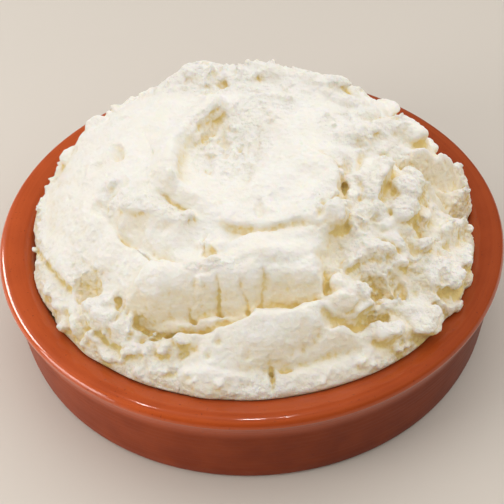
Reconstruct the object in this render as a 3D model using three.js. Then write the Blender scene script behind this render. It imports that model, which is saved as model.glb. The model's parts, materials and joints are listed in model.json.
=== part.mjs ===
// A heaped bowl of fresh goat cheese: a shallow glazed terracotta dish, filled and piled
// well over its rim with soft white curd that was spooned and smeared into folds.
// Millimetres, +Z up. The origin is the middle of the dish's foot, where it stands.
// +X is the right and +Y the far side of the heap as it is served.

import * as THREE from 'three';

// ---- driving dimensions ----
const DISH_RADIUS = 75;         // over the rim
const DISH_HEIGHT = 29;         // foot to the top of the rim
const FOOT_RADIUS = 69.8;       // flat ring and floor that the dish stands on
const WALL_FOOT_RADIUS = 71.9;  // outside of the wall just over its rounded foot
const WALL_TOP_RADIUS = 73.5;   // outside of the wall just under the rim band
const RIM_BAND = 3.4;           // height of the rounded rim band
const FLOOR_THICK = 5;
const DISH_SIDES = 72;

const CHEESE_RADIUS = 66.4;     // where the curd lies on the inner slope of the rim
const FRONT_RISE = 29;          // top of the heap over the rim, towards the front
const BACK_RISE = 29.5;         // and towards the back
const FRONT_REACH = 46;         // from the edge in to the level top, at the front
const BACK_REACH = 40;
const FRONT_SLOPE = 1.65;       // power of the flank's curve, higher is steeper
const BACK_SLOPE = 2.2;
const EDGE_RISE = -0.2;         // edge of the curd against the top of the rim
const EDGE_THICK = 0.9;
const GAP = 0.35;               // clearance between curd and dish
const FOLD_STRAY = 4.2;         // how often a ragged fold strays from its line
const RINGS = 40;               // rings of the top surface
const SECTORS = 6;              // ring k has 6 k points

// ---- dish ----
// Half section of the dish, from the middle of the foot round to the middle of the floor.
const INNER_PROFILE = [
  [67.4, DISH_HEIGHT - 0.7],
  [65.7, DISH_HEIGHT - 1.9],
  [64.8, DISH_HEIGHT - 4.2],
  [64.2, 20],
  [62.8, 13],
  [59.8, 7.8],
  [54, FLOOR_THICK + 0.3],
  [0, FLOOR_THICK],
];

function dishProfile() {
  const bandFoot = DISH_HEIGHT - RIM_BAND;
  return [
    [0, 0],
    [FOOT_RADIUS, 0],
    [FOOT_RADIUS + 1.4, 0.5],
    [WALL_FOOT_RADIUS, 1.9],
    [WALL_TOP_RADIUS, bandFoot - 0.4],
    [DISH_RADIUS - 0.7, bandFoot + 0.1],
    [DISH_RADIUS, bandFoot + 0.9],
    [DISH_RADIUS, bandFoot + 1.8],
    [DISH_RADIUS - 0.6, DISH_HEIGHT - 0.5],
    [DISH_RADIUS - 1.8, DISH_HEIGHT],
    [DISH_RADIUS - 4.4, DISH_HEIGHT - 0.1],
    ...INNER_PROFILE,
  ];
}

function makeDish() {
  const points = dishProfile().map(([r, z]) => new THREE.Vector2(r, z));
  const geometry = new THREE.LatheGeometry(points, DISH_SIDES);
  geometry.rotateX(Math.PI / 2);
  const glaze = new THREE.MeshStandardMaterial({ color: 0x9a4322, roughness: 0.18, metalness: 0 });
  const dish = new THREE.Mesh(geometry, glaze);
  dish.name = 'dish';
  return dish;
}

// Height of the dish's inner surface at radius r, and its radius at height z.
function innerHeight(r) {
  for (let i = 0; i < INNER_PROFILE.length - 1; i += 1) {
    const [r0, z0] = INNER_PROFILE[i];
    const [r1, z1] = INNER_PROFILE[i + 1];
    if (r >= r1) {
      return z1 + ((z0 - z1) * (r - r1)) / (r0 - r1);
    }
  }
  return FLOOR_THICK;
}

function innerRadius(z) {
  for (let i = 0; i < INNER_PROFILE.length - 1; i += 1) {
    const [r0, z0] = INNER_PROFILE[i];
    const [r1, z1] = INNER_PROFILE[i + 1];
    if (z >= z1) {
      return r1 + ((r0 - r1) * (z - z1)) / (z0 - z1);
    }
  }
  return 0;
}

// ---- tools for the relief ----
function smooth(from, to, value) {
  const t = Math.min(Math.max((value - from) / (to - from), 0), 1);
  return t * t * (3 - 2 * t);
}

// Repeatable random number from 0 to 1 for a cell of the ground.
function chance(i, j, seed) {
  let h = Math.imul(i, 374761393) + Math.imul(j, 668265263) + Math.imul(seed, 144269504);
  h = Math.imul(h ^ (h >>> 13), 1274126177);
  return ((h ^ (h >>> 16)) >>> 0) / 4294967296;
}

// Soft unevenness from -1 to 1, with humps about one cell wide.
function uneven(x, y, cell, seed) {
  const u = x / cell;
  const v = y / cell;
  const i = Math.floor(u);
  const j = Math.floor(v);
  const a = smooth(0, 1, u - i);
  const b = smooth(0, 1, v - j);
  const near = chance(i, j, seed) * (1 - a) + chance(i + 1, j, seed) * a;
  const far = chance(i, j + 1, seed) * (1 - a) + chance(i + 1, j + 1, seed) * a;
  return 2 * (near * (1 - b) + far * b) - 1;
}

// Rounded crumbs from 0 to 1, pressed together, each about one cell wide.
function crumbs(x, y, cell, seed) {
  const i = Math.floor(x / cell);
  const j = Math.floor(y / cell);
  let height = 0;
  for (let m = i - 1; m <= i + 1; m += 1) {
    for (let n = j - 1; n <= j + 1; n += 1) {
      const u = x / cell - m - chance(m, n, seed);
      const v = y / cell - n - chance(m, n, seed + 1);
      const size = 0.5 + 0.45 * chance(m, n, seed + 2);
      height = Math.max(height, 1 - (u * u + v * v) / (size * size));
    }
  }
  return Math.sqrt(height);
}

// A smooth line over the heap through a few places.
function line(...places) {
  const curve = new THREE.CatmullRomCurve3(places.map(([x, y]) => new THREE.Vector3(x, y, 0)));
  return curve.getPoints(places.length * 6);
}

// Distance from the point to a line, plus on its left side, and how far along it lies.
function beside(path, x, y) {
  let best = Infinity;
  let side = 1;
  let along = 0;
  const last = path.length - 1;
  for (let i = 0; i < last; i += 1) {
    const p = path[i];
    const ex = path[i + 1].x - p.x;
    const ey = path[i + 1].y - p.y;
    const t = Math.min(Math.max(((x - p.x) * ex + (y - p.y) * ey) / (ex * ex + ey * ey), 0), 1);
    const qx = x - p.x - t * ex;
    const qy = y - p.y - t * ey;
    const distance = Math.hypot(qx, qy);
    if (distance < best) {
      best = distance;
      side = ex * qy - ey * qx >= 0 ? 1 : -1;
      along = (i + t) / last;
    }
  }
  return { d: best * side, along };
}

function taper(along, ends) {
  return smooth(0, ends, along) * smooth(0, ends, 1 - along);
}

// Height of a rounded lump, or of a hollow where its height is minus.
function lump(x, y, at, size, turn, height, round = 1) {
  const a = THREE.MathUtils.degToRad(turn);
  const u = ((x - at[0]) * Math.cos(a) + (y - at[1]) * Math.sin(a)) / size[0];
  const v = ((y - at[1]) * Math.cos(a) - (x - at[0]) * Math.sin(a)) / size[1];
  const left = 1 - u * u - v * v;
  return left > 0 ? height * left ** round : 0;
}

// Height of a soft ridge along a line, or of a groove where its height is minus.
function ridge(x, y, path, width, height, ends = 0.2) {
  const { d, along } = beside(path, x, y);
  return height * Math.exp(-((d / width) ** 2)) * taper(along, ends);
}

// Height of a fold that rises on the left of its foot line: a round face, a crest, a slope
// back down behind it, and a crease in front of it. A ragged fold strays from its line, and
// the face of a flat one is a plain slope up to a sharp crest.
function fold(x, y, path, { rise, face, back, crease, ends = 0.15, ragged = 0.5, flat = 0 }) {
  const { d: straight, along } = beside(path, x, y);
  const d = straight + ragged * uneven(x, y, FOLD_STRAY, 11);
  const amount = taper(along, ends);
  if (d >= back || amount === 0) {
    return 0;
  }
  if (d < 0) {
    return -crease * Math.exp(-((d / 1.6) ** 2)) * amount;
  }
  if (d < face) {
    const lift = THREE.MathUtils.lerp(Math.sqrt(1 - (1 - d / face) ** 2), d / face, flat);
    return ((rise + crease) * lift - crease) * amount;
  }
  const fall = (d - face) / (back - face);
  return rise * 0.5 * (1 + Math.cos(Math.PI * fall)) * amount;
}

// ---- edge of the curd ----
// Bearings are in degrees, from +X towards +Y.
const SUNK_EDGES = [
  { bearing: 28, spread: 10, drop: 5 },
  { bearing: -2, spread: 4, drop: 4 },
];
const OUTER_FLAKES = [
  { bearing: 14, spread: 4, reach: 1.2 },
  { bearing: -50, spread: 8, reach: 0.8 },
  { bearing: 182, spread: 20, reach: -1.2 },
];

function nearBearing(angle, bearing, spread) {
  let off = THREE.MathUtils.radToDeg(angle) - bearing;
  off -= 360 * Math.round(off / 360);
  return Math.exp(-((off / spread) ** 2));
}

function curdEdge(angle) {
  let r = CHEESE_RADIUS;
  let z = DISH_HEIGHT + EDGE_RISE;
  r += 0.35 * uneven(20 * Math.cos(angle), 20 * Math.sin(angle), 3, 5);
  for (const { bearing, spread, reach } of OUTER_FLAKES) {
    r += reach * nearBearing(angle, bearing, spread);
  }
  for (const { bearing, spread, drop } of SUNK_EDGES) {
    z -= drop * nearBearing(angle, bearing, spread);
  }
  r = Math.min(r, innerRadius(z - EDGE_THICK) - GAP);
  return { r, z };
}

// ---- the heap ----
function heap(x, y, edge) {
  const r = Math.hypot(x, y);
  const inward = Math.max(edge.r - r, 0);
  const bearingY = r > 0 ? y / r : 0;
  const outer = smooth(8, 30, r);
  const back = smooth(-0.95, -0.1, bearingY) * outer + 0.6 * (1 - outer);
  const slope = THREE.MathUtils.lerp(FRONT_SLOPE, BACK_SLOPE, back);
  const reach = THREE.MathUtils.lerp(FRONT_REACH, BACK_REACH, back);
  const top = DISH_HEIGHT + THREE.MathUtils.lerp(FRONT_RISE, BACK_RISE, back);
  const left = Math.max(1 - inward / reach, 0);
  return edge.z + (top - edge.z) * (1 - left ** slope);
}

// Ridge and knobs that stand highest, behind the scooped hollow.
const CREST = line([-27, 26], [-20, 32], [-10, 34], [1, 34], [12, 32], [24, 28], [31, 23]);

function crest(x, y) {
  return ridge(x, y, CREST, 5.5, 2.4, 0.12)
    + lump(x, y, [-14, 34], [7, 5], 10, 1.8)
    + lump(x, y, [6, 34], [5, 4], 0, 1.4)
    + lump(x, y, [26, 26], [5, 3.4], -20, 1)
    + lump(x, y, [-6.5, 29], [2.6, 3], 30, -3)
    + lump(x, y, [10, 16], [5, 3], 20, -0.6)
    + lump(x, y, [-11, 26], [3, 3], 0, -1);
}

// Hollow left by the spoon, with its steep left wall, and the smooth slab at its right.
const HOLLOW_WALL = line([-17, -17], [-21, -12], [-23.5, -6], [-22, 1], [-17, 7.5], [-9, 14]);
const HOLLOW_RIFT = line([-2, 13], [-5.2, 8.1], [-6, 3.4], [-6.2, -2]);
const SLAB_RIGHT = line([13, -31], [19, -26.5], [23, -21], [24.6, -16], [22.5, -11], [18.5, -6], [14, 1]);
const SLAB_FRONT = line([-10, -29.5], [-4, -31.5], [2, -32], [8, -31.5], [14, -31], [21, -32]);

function hollowAndSlab(x, y) {
  return lump(x, y, [-6, 0], [19, 20], 0, -3, 2)
    + fold(x, y, HOLLOW_WALL, { rise: 2.4, face: 5, back: 9, crease: 0.4, ragged: 0.8, flat: 1 })
    + ridge(x, y, HOLLOW_RIFT, 1.2, -1.6)
    + lump(x, y, [-1.8, -13.5], [2.4, 3.4], -20, -1.6)
    + lump(x, y, [-10.5, -7], [2, 4], 15, -1.2)
    + lump(x, y, [-8.5, 14], [4, 2.6], 30, -1)
    + lump(x, y, [11, -12], [15, 22], -12, 1.6, 2)
    + fold(x, y, SLAB_RIGHT, { rise: 2, face: 1.8, back: 10, crease: 2.4, ragged: 1.2 })
    + fold(x, y, SLAB_FRONT, { rise: 2, face: 2, back: 9, crease: 1.5 });
}

// Folds stacked down the front, from the slab to the rim.
const SECOND_FOLD = line([-8, -33.5], [-7, -38], [-2, -40.5], [6, -41], [14, -39.5], [20, -37], [27, -31]);
const FRONT_FOLD = line(
  [-37, -39], [-33, -45], [-26, -48.4], [-17, -49], [-9, -49.4], [-2, -49.6], [4, -48], [11, -48],
  [20, -47.6],
);
const FRONT_CRACK_A = line([-16, -50], [-15.4, -47], [-16.4, -44]);
const FRONT_CRACK_B = line([-8.4, -50.5], [-8.2, -47], [-7.8, -44]);
const FRONT_CRACK_C = line([-2.4, -51], [-2, -48], [-0.6, -44]);
const FRONT_CRACK_D = line([2.6, -49.5], [2.2, -46], [2.4, -42]);
const FRONT_CRACK_E = line([19.2, -49.5], [18.8, -45], [19, -40]);
const TONGUE_FOOT = line(
  [-18, -56.5], [-12, -58.8], [-5, -60.2], [4, -60.8], [12, -60], [20, -57.6], [26, -54.6], [30, -51],
);
const TONGUE_RIDGE = line([3, -50.5], [8, -50], [14, -52], [21, -53.6], [27, -54]);
const TONGUE_GROOVE = line([16.5, -54.5], [15, -57], [12, -59.5]);
const LOW_CRACK = line([3.2, -60], [3.6, -63], [4.2, -66]);

function frontFolds(x, y) {
  return fold(x, y, SECOND_FOLD, { rise: 2.6, face: 4, back: 10, crease: 1.5, ends: 0.1 })
    + lump(x, y, [-7.8, -36], [1.9, 1.9], 0, 1.2)
    + lump(x, y, [-10.6, -37.6], [2, 1.7], 0, -2)
    + lump(x, y, [22, -36], [3.4, 4.4], 20, -1.8, 1.5)
    + fold(x, y, FRONT_FOLD, { rise: 4.8, face: 3.6, back: 10.5, crease: 2.4, ends: 0.1, ragged: 0.7 })
    + ridge(x, y, FRONT_CRACK_A, 1.1, -1.7)
    + ridge(x, y, FRONT_CRACK_B, 1.1, -1.9)
    + ridge(x, y, FRONT_CRACK_C, 1.1, -1.5)
    + ridge(x, y, FRONT_CRACK_D, 1.2, -2.3)
    + ridge(x, y, FRONT_CRACK_E, 1.3, -4)
    + fold(x, y, TONGUE_FOOT, { rise: 3, face: 4.5, back: 10, crease: 2, ends: 0.1 })
    + lump(x, y, [8, -52], [13, 5.2], -8, 2.6, 0.9)
    + ridge(x, y, TONGUE_RIDGE, 2.4, 1.6)
    + ridge(x, y, TONGUE_GROOVE, 1.2, -1.8)
    + lump(x, y, [22, -56.6], [5, 2.6], 25, 1.2)
    + lump(x, y, [-10, -63], [11, 3.4], -4, 1.2)
    + ridge(x, y, LOW_CRACK, 1.2, -2.4, 0.1);
}

// Smooth smeared flank at the left, the trough above it, and its dents.
const FLANK_TOP = line([-18, -40], [-24, -36.2], [-30, -31.4], [-35, -27.5], [-38.5, -21], [-44.5, -15]);
const TROUGH = line([-35, -24], [-29, -27], [-22, -30], [-12, -34.5]);
const TROUGH_STEP = line([-39, -19.5], [-33, -23], [-27, -24.6], [-20, -27], [-13, -30]);
const KNIFE_CUT = line([-14, -24.5], [-19.5, -20], [-25.5, -16]);
const LEFT_LEDGE = line([-65.5, -4], [-63, -11], [-58.5, -20], [-54.5, -26.8], [-47, -36.4]);
const LOW_LEFT_LEDGE = line([-53, -37], [-47.1, -43.4], [-41.4, -48], [-34.3, -53.7], [-29, -56]);
const C_CRACK = line([-37, -40], [-35.3, -43], [-35.6, -46.5], [-38, -48.8]);
const C_RIDGE = line([-33.4, -42], [-32.6, -46], [-34, -49.2], [-38, -50.4]);
const SMALL_RIDGE = line([-14, -53], [-18, -54.6], [-22.5, -57.4]);

function leftFlank(x, y) {
  return fold(x, y, FLANK_TOP, { rise: 1.3, face: 1.4, back: 11, crease: 1.6 })
    + ridge(x, y, TROUGH, 4.2, -1.8)
    + fold(x, y, TROUGH_STEP, { rise: 1.2, face: 2.4, back: 9, crease: 0.2, ragged: 1.1 })
    + fold(x, y, KNIFE_CUT, { rise: 0.9, face: 1.2, back: 6, crease: 1.2 })
    + lump(x, y, [-19.5, -17], [5, 3.4], -35, -1.1)
    + lump(x, y, [-39.5, -15.5], [5, 4], 30, -1.6, 1.5)
    + lump(x, y, [-35.5, -12.5], [3.4, 2.6], 30, -1)
    + lump(x, y, [-43.1, -1.4], [2.6, 3], 0, -1)
    + lump(x, y, [-37, 2], [2.6, 5.2], 12, -2)
    + lump(x, y, [-44, -33.2], [6.4, 4.4], -25, -3)
    + fold(x, y, LEFT_LEDGE, { rise: 1, face: 1.2, back: 6, crease: 1, ends: 0.1 })
    + fold(x, y, LOW_LEFT_LEDGE, { rise: 1.3, face: 1.4, back: 5, crease: 1.2, ends: 0.1 })
    + lump(x, y, [-41, -43], [6, 4.8], -30, 2.6)
    + ridge(x, y, C_CRACK, 1.2, -2.4)
    + ridge(x, y, C_RIDGE, 1.8, 1.8)
    + lump(x, y, [-28.6, -51], [4.6, 2.8], -10, -3.2)
    + lump(x, y, [-23, -52.6], [2.4, 2.2], 0, 1.2)
    + ridge(x, y, SMALL_RIDGE, 1.4, 1.8)
    + lump(x, y, [-15.6, -56.8], [2, 1.8], 0, -2)
    + lump(x, y, [-29.4, -58.5], [2.4, 2], 0, -1.4)
    + lump(x, y, [-22.4, -61.2], [2.4, 1.8], 0, -1.4);
}

// Peaks, valleys and a standing slab at the right of the hollow.
const RIGHT_SLAB = line([32.5, -23.5], [35, -18.6], [37.2, -14.8], [40.4, -9]);
const SLAB_CRACK = line([34, -4], [30.9, -8], [29.4, -13]);
const SLAB_VALLEY = line([25.8, -7], [26.4, -12], [25, -18], [22, -24.5]);

function rightPeaks(x, y) {
  return fold(x, y, RIGHT_SLAB, { rise: 2.4, face: 1.6, back: 7, crease: 3 })
    + ridge(x, y, SLAB_CRACK, 1.2, -1.4)
    + ridge(x, y, SLAB_VALLEY, 1.8, -2.2)
    + lump(x, y, [44.5, -13.5], [5.5, 9.5], 5, 2.4)
    + lump(x, y, [30.5, 1.5], [6, 5], 30, 3.4)
    + lump(x, y, [38, 6.5], [5, 4.6], 0, 2.8)
    + lump(x, y, [31, 21], [6, 4.4], 10, 1.2)
    + lump(x, y, [35, 14], [4.4, 3.6], 0, 1.6)
    + lump(x, y, [28, 10], [4, 3], 20, -0.6)
    + lump(x, y, [46, 10], [7.5, 5], -40, 2)
    + lump(x, y, [41, 18], [6, 5], -40, 1.6)
    + lump(x, y, [21, -28.4], [3.8, 3.2], 0, 2.4)
    + lump(x, y, [25.6, -24.4], [3, 2.6], 30, 2)
    + lump(x, y, [29.5, -25.6], [3.4, 4], -10, 1.8)
    + lump(x, y, [33, -22.4], [2.8, 3.4], 10, 1.4)
    + lump(x, y, [42, -22], [5, 4], -20, 2)
    + lump(x, y, [48, -16.8], [1.9, 3], 0, -2.6)
    + lump(x, y, [45, -24.2], [2, 2], 0, -2)
    + lump(x, y, [33, -29.5], [4, 2.6], 0, -1.4);
}

// Fan of ruffles at the right edge.
const FAN_TOP = line([47, -2], [52.5, 1], [59, 6], [66, 14]);
const FAN_GROOVE = line([52, -1], [57, 2], [61, 4.5], [66.5, 8]);
const FAN_MIDDLE = line([48, -9], [53, -7.4], [58, -5.4], [65.5, -1]);
const FAN_LOW_GROOVE = line([50, -11.5], [55.7, -11], [60, -9.6], [66, -6]);
const FAN_FLAP = line([50, -24], [55, -19], [60, -14], [64, -9]);
const FAN_BACK = line([48, 8], [54, 18], [58, 28]);

function fan(x, y) {
  return ridge(x, y, FAN_TOP, 2, 2.2)
    + ridge(x, y, FAN_GROOVE, 1.6, -1.6)
    + ridge(x, y, FAN_MIDDLE, 2.2, 2.2)
    + ridge(x, y, FAN_LOW_GROOVE, 1.6, -2)
    + ridge(x, y, FAN_FLAP, 2.4, 1.6)
    + ridge(x, y, FAN_BACK, 2.6, 1.6);
}

// Deep hole at the lower right, the arch over it, and the loose lumps round it.
const ARCH = line([25, -39.6], [28.6, -37.4], [32.3, -36.2], [36.4, -35.6], [40, -37.4], [43.6, -41.6]);
const LUMP_GAP = line([18, -52.6], [24.5, -52.4], [29.4, -50], [33, -47.8], [37.5, -45.6], [42.4, -41.4]);
const OVERHANG = line([42, -46], [46, -43.8], [50.6, -40.2], [55, -35.6], [58.6, -30], [61, -24]);

function holeAndLumps(x, y) {
  return fold(x, y, ARCH, { rise: 1.8, face: 1.6, back: 7, crease: 0.6, ragged: 1 })
    + lump(x, y, [32, -39.4], [4.2, 4.2], -8, -7, 0.7)
    + lump(x, y, [37, -38.4], [2.6, 2.6], 0, -3.4)
    + lump(x, y, [41.4, -36.6], [4.4, 6], 15, -2, 1.5)
    + lump(x, y, [29.4, -34.8], [2.6, 2.2], 0, 1.2)
    + lump(x, y, [34, -33.6], [3, 2.2], 10, 1.2)
    + fold(x, y, LUMP_GAP, { rise: 2.2, face: 1.8, back: 6, crease: 3, ends: 0.1, ragged: 0.8 })
    + lump(x, y, [24.2, -43.4], [4.6, 4.2], 0, 2.6, 0.7)
    + lump(x, y, [29, -46.6], [3.6, 3.2], 20, 1.8, 0.7)
    + lump(x, y, [35.8, -42.6], [4, 3.6], 30, 2.8, 0.7)
    + lump(x, y, [28, -53.2], [2.6, 2.2], 0, 1.4)
    + lump(x, y, [31.8, -52.4], [2.6, 2.4], 0, 1.6)
    + lump(x, y, [36.4, -50.6], [4, 3.6], 30, 2.8, 0.7)
    + lump(x, y, [44, -46.6], [5.6, 3.6], 45, 3, 0.7)
    + lump(x, y, [42.6, -42.6], [2.8, 2.4], 0, 1.6)
    + fold(x, y, OVERHANG, { rise: 2.2, face: 1.6, back: 8, crease: 1.8, ragged: 1.1 })
    + lump(x, y, [49.5, -33], [7, 6], -45, 1.6)
    + lump(x, y, [53.4, -39.4], [3, 2.2], 45, 1.6)
    + lump(x, y, [57.4, -34], [2.6, 2], 50, 1.4);
}

// The far side, folded and lumpy like the rest.
const FAR_FOLD = line([42, 36], [27, 47], [4, 53], [-18, 49], [-36, 37]);
const FAR_LOW_FOLD = line([14, 61], [-6, 62], [-28, 55], [-46, 40]);
const FAR_SHORT_FOLD = line([52, 33], [42, 45], [28, 54]);

function farSide(x, y) {
  return fold(x, y, FAR_FOLD, { rise: 2.4, face: 3.2, back: 10, crease: 1.4 })
    + fold(x, y, FAR_LOW_FOLD, { rise: 1.8, face: 2.6, back: 7, crease: 1 })
    + fold(x, y, FAR_SHORT_FOLD, { rise: 1.8, face: 2.4, back: 6, crease: 1 })
    + lump(x, y, [-36, 22], [7, 6], 40, 1.6)
    + lump(x, y, [-48, 22], [6, 7], 20, 1.2)
    + lump(x, y, [-8, 44], [8, 4], 10, 1.6)
    + lump(x, y, [18, 43], [7, 4], -20, 1.8);
}

// Plump brim of curd on the rim, soft humps everywhere, crumbs where the curd is loose.
function surface(x, y, edge) {
  const inward = Math.max(edge.r - Math.hypot(x, y), 0);
  const brim = 1.2 * Math.sqrt(Math.max(1 - (1 - inward / 2.5) ** 2, 0)) * smooth(7, 2.5, inward);
  const low = smooth(12, 3, inward);
  const right = smooth(20, 36, x) * smooth(30, 5, Math.abs(y + 8));
  const crest = smooth(22, 28, y);
  const scooped = smooth(17, 11, Math.hypot(x + 7, y - 3));
  const loose = Math.min(Math.max(low, right, 0.9 * crest, 0.6 * scooped), 1);
  const humps = 0.45 * uneven(x, y, 8, 1) + 0.3 * uneven(x, y, 4.5, 2);
  const crumbly = loose * (1.5 * (crumbs(x, y, 5, 7) - 0.5) + 1.1 * (crumbs(x, y, 3.2, 21) - 0.5));
  return brim + (humps + crumbly) * smooth(0, 1.5, inward);
}

function topHeight(x, y, edge) {
  const relief = crest(x, y) + hollowAndSlab(x, y) + frontFolds(x, y) + leftFlank(x, y)
    + rightPeaks(x, y) + fan(x, y) + holeAndLumps(x, y) + farSide(x, y);
  const inward = Math.max(edge.r - Math.hypot(x, y), 0);
  return heap(x, y, edge) + relief * smooth(0, 3, inward) + surface(x, y, edge);
}

// ---- cheese ----
// The underside follows the inside of the dish. Its rings have fewer points going down.
const UNDER_RINGS = [
  { height: DISH_HEIGHT - 1.9, points: 120 },
  { height: DISH_HEIGHT - 4.2, points: 120 },
  { height: 20, points: 120 },
  { height: 13, points: 60 },
  { height: 7.8, points: 60 },
  { height: FLOOR_THICK + 0.3, points: 30 },
];

function bearing(index, count) {
  return (2 * Math.PI * index) / count;
}

function makeCheese() {
  const positions = [];
  const triangles = [];
  const rings = [];

  function addRing(count, place) {
    const first = positions.length / 3;
    for (let i = 0; i < count; i += 1) {
      const angle = bearing(i, count);
      const { r, z } = place(angle);
      positions.push(r * Math.cos(angle), r * Math.sin(angle), z);
    }
    rings.push({ first, count });
  }

  // Joins an inner ring to the one round it, whatever their numbers of points.
  function joinRings(inner, outer, flip) {
    let i = 0;
    let j = 0;
    while (i < inner.count || j < outer.count) {
      const a = inner.first + (i % inner.count);
      const b = outer.first + (j % outer.count);
      const nextInner = (i + 1) * outer.count;
      const nextOuter = (j + 1) * inner.count;
      const stepOuter = i >= inner.count || (j < outer.count && nextOuter <= nextInner);
      const c = stepOuter
        ? outer.first + ((j + 1) % outer.count)
        : inner.first + ((i + 1) % inner.count);
      triangles.push(...(flip ? [a, c, b] : [a, b, c]));
      if (stepOuter) {
        j += 1;
      } else {
        i += 1;
      }
    }
  }

  positions.push(0, 0, topHeight(0, 0, curdEdge(0)));
  rings.push({ first: 0, count: 1 });
  for (let k = 1; k <= RINGS; k += 1) {
    addRing(SECTORS * k, (angle) => {
      const edge = curdEdge(angle);
      const r = (edge.r * k) / RINGS;
      return { r, z: topHeight(r * Math.cos(angle), r * Math.sin(angle), edge) };
    });
  }
  for (let k = 0; k < RINGS; k += 1) {
    joinRings(rings[k], rings[k + 1], false);
  }

  addRing(SECTORS * RINGS, (angle) => {
    const edge = curdEdge(angle);
    const r = edge.r - 0.2;
    return { r, z: Math.max(innerHeight(r) + GAP, edge.z - EDGE_THICK) };
  });
  UNDER_RINGS.forEach(({ height, points }, level) => {
    addRing(points, (angle) => {
      const z = Math.min(height, curdEdge(angle).z - EDGE_THICK - 0.8 * (level + 1));
      return { r: innerRadius(z) - GAP, z: z + GAP / 2 };
    });
  });
  const floorMiddle = positions.length / 3;
  positions.push(0, 0, FLOOR_THICK + GAP);
  rings.push({ first: floorMiddle, count: 1 });
  for (let k = RINGS; k < rings.length - 1; k += 1) {
    joinRings(rings[k + 1], rings[k], true);
  }

  const geometry = new THREE.BufferGeometry();
  geometry.setAttribute('position', new THREE.Float32BufferAttribute(positions, 3));
  geometry.setIndex(triangles);
  geometry.computeVertexNormals();
  const curd = new THREE.MeshStandardMaterial({ color: 0xf6f0e4, roughness: 0.7, metalness: 0 });
  const cheese = new THREE.Mesh(geometry, curd);
  cheese.name = 'cheese';
  return cheese;
}

const bowlOfGoatCheese = new THREE.Group();
bowlOfGoatCheese.add(makeDish());
bowlOfGoatCheese.add(makeCheese());

export default bowlOfGoatCheese;
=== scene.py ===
# Bowl of fresh goat cheese: a shallow glazed terracotta dish, heaped with soft white curd
# that was spooned and smeared into folds. Forms are measured in millimetres over the plan
# of the dish and scaled to metres when they reach a mesh. +Z is up, +X right, +Y the far side.
import json
import math

import bpy
import numpy as np
from mathutils import Matrix, Vector

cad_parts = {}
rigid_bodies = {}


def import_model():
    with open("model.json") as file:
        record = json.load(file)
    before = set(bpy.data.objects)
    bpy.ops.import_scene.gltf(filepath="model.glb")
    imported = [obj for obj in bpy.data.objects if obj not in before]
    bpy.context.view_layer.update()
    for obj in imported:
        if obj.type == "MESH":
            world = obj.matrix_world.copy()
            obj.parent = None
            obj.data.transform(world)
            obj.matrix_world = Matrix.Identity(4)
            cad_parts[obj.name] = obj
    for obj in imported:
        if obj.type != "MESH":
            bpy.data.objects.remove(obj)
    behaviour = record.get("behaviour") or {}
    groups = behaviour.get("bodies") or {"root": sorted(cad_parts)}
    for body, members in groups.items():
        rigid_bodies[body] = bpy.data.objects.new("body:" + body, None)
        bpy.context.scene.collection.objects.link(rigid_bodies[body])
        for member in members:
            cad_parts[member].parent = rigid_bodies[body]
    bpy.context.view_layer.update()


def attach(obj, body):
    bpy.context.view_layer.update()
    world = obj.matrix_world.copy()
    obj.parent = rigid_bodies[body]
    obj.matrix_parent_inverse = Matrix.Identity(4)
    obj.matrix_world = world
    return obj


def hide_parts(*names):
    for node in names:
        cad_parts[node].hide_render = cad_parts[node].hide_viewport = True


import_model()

MM = 0.001

# ---- sizes, in millimetres ----
DISH_RADIUS = 75.0
DISH_HEIGHT = 29.0
RIM_BAND = 3.4
FLOOR_THICK = 5.0
DISH_SIDES = 192

CURD_RADIUS = 66.4
FRONT_RISE = 29.0
BACK_RISE = 29.5
FRONT_REACH = 46.0
BACK_REACH = 40.0
FRONT_SLOPE = 1.65
BACK_SLOPE = 2.2
EDGE_RISE = -0.2
EDGE_THICK = 0.9
GAP = 0.35
GRAIN_OF_MESH = 0.45
# What the thinning aims for. It is not reached: it thins out only what lies hidden in the dish,
# and the part that shows keeps all its faces, so the curd ends with about 372,000.
CURD_TRIANGLES = 194000
UNDERSIDE_LEVELS = (None, 24.8, 13.0, 5.5)  # heights its edge is drawn down to; None: the rim
SHADED_ANGLE = 70  # degrees between faces up to which they are shaded as one
# Lumps and crumbs of the loose curd: size of their cells, depth, least amount anywhere, seed.
CRUMB_SCALES = [(5.4, 0.9, 0.0, 61), (2.9, 0.7, 0.12, 71), (1.6, 0.55, 0.3, 81)]
CUTS = (12, 12)  # cuts of the first and second subdivision of the curd's hexagon
HEXAGON_CORNER = 30.0  # bearing of its first corner, in degrees

# Inside of the dish, from the rim down to the middle of the floor: radius and height.
INNER_PROFILE = np.array([
    (67.4, 28.3), (65.7, 27.1), (64.8, 24.8), (64.2, 20.0),
    (62.8, 13.0), (59.8, 7.8), (54.0, 5.3), (0.0, FLOOR_THICK),
])
RIM_TOP = np.array([(73.2, DISH_HEIGHT), (70.6, DISH_HEIGHT - 0.1)])  # its outer and inner side

CAMERA_RISE = 44.67  # degrees above the level
CAMERA_ROLL = 2.54  # degrees
CAMERA_AWAY = 4.072  # dish radii from the place it looks at


def deselect_everything():
    if bpy.context.object and bpy.context.object.mode != "OBJECT":
        bpy.ops.object.mode_set(mode="OBJECT")
    bpy.ops.object.select_all(action="DESELECT")


def read_points(piece):
    flat = np.empty(len(piece.data.vertices) * 3)
    piece.data.vertices.foreach_get("co", flat)
    return flat.reshape(-1, 3) / MM


def place_points(piece, points):
    piece.data.vertices.foreach_set("co", (points * MM).ravel())
    piece.data.update()


# ---- tools for the relief ----
def smooth(start, end, value):
    t = np.clip((value - start) / (end - start), 0, 1)
    return t * t * (3 - 2 * t)


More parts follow.
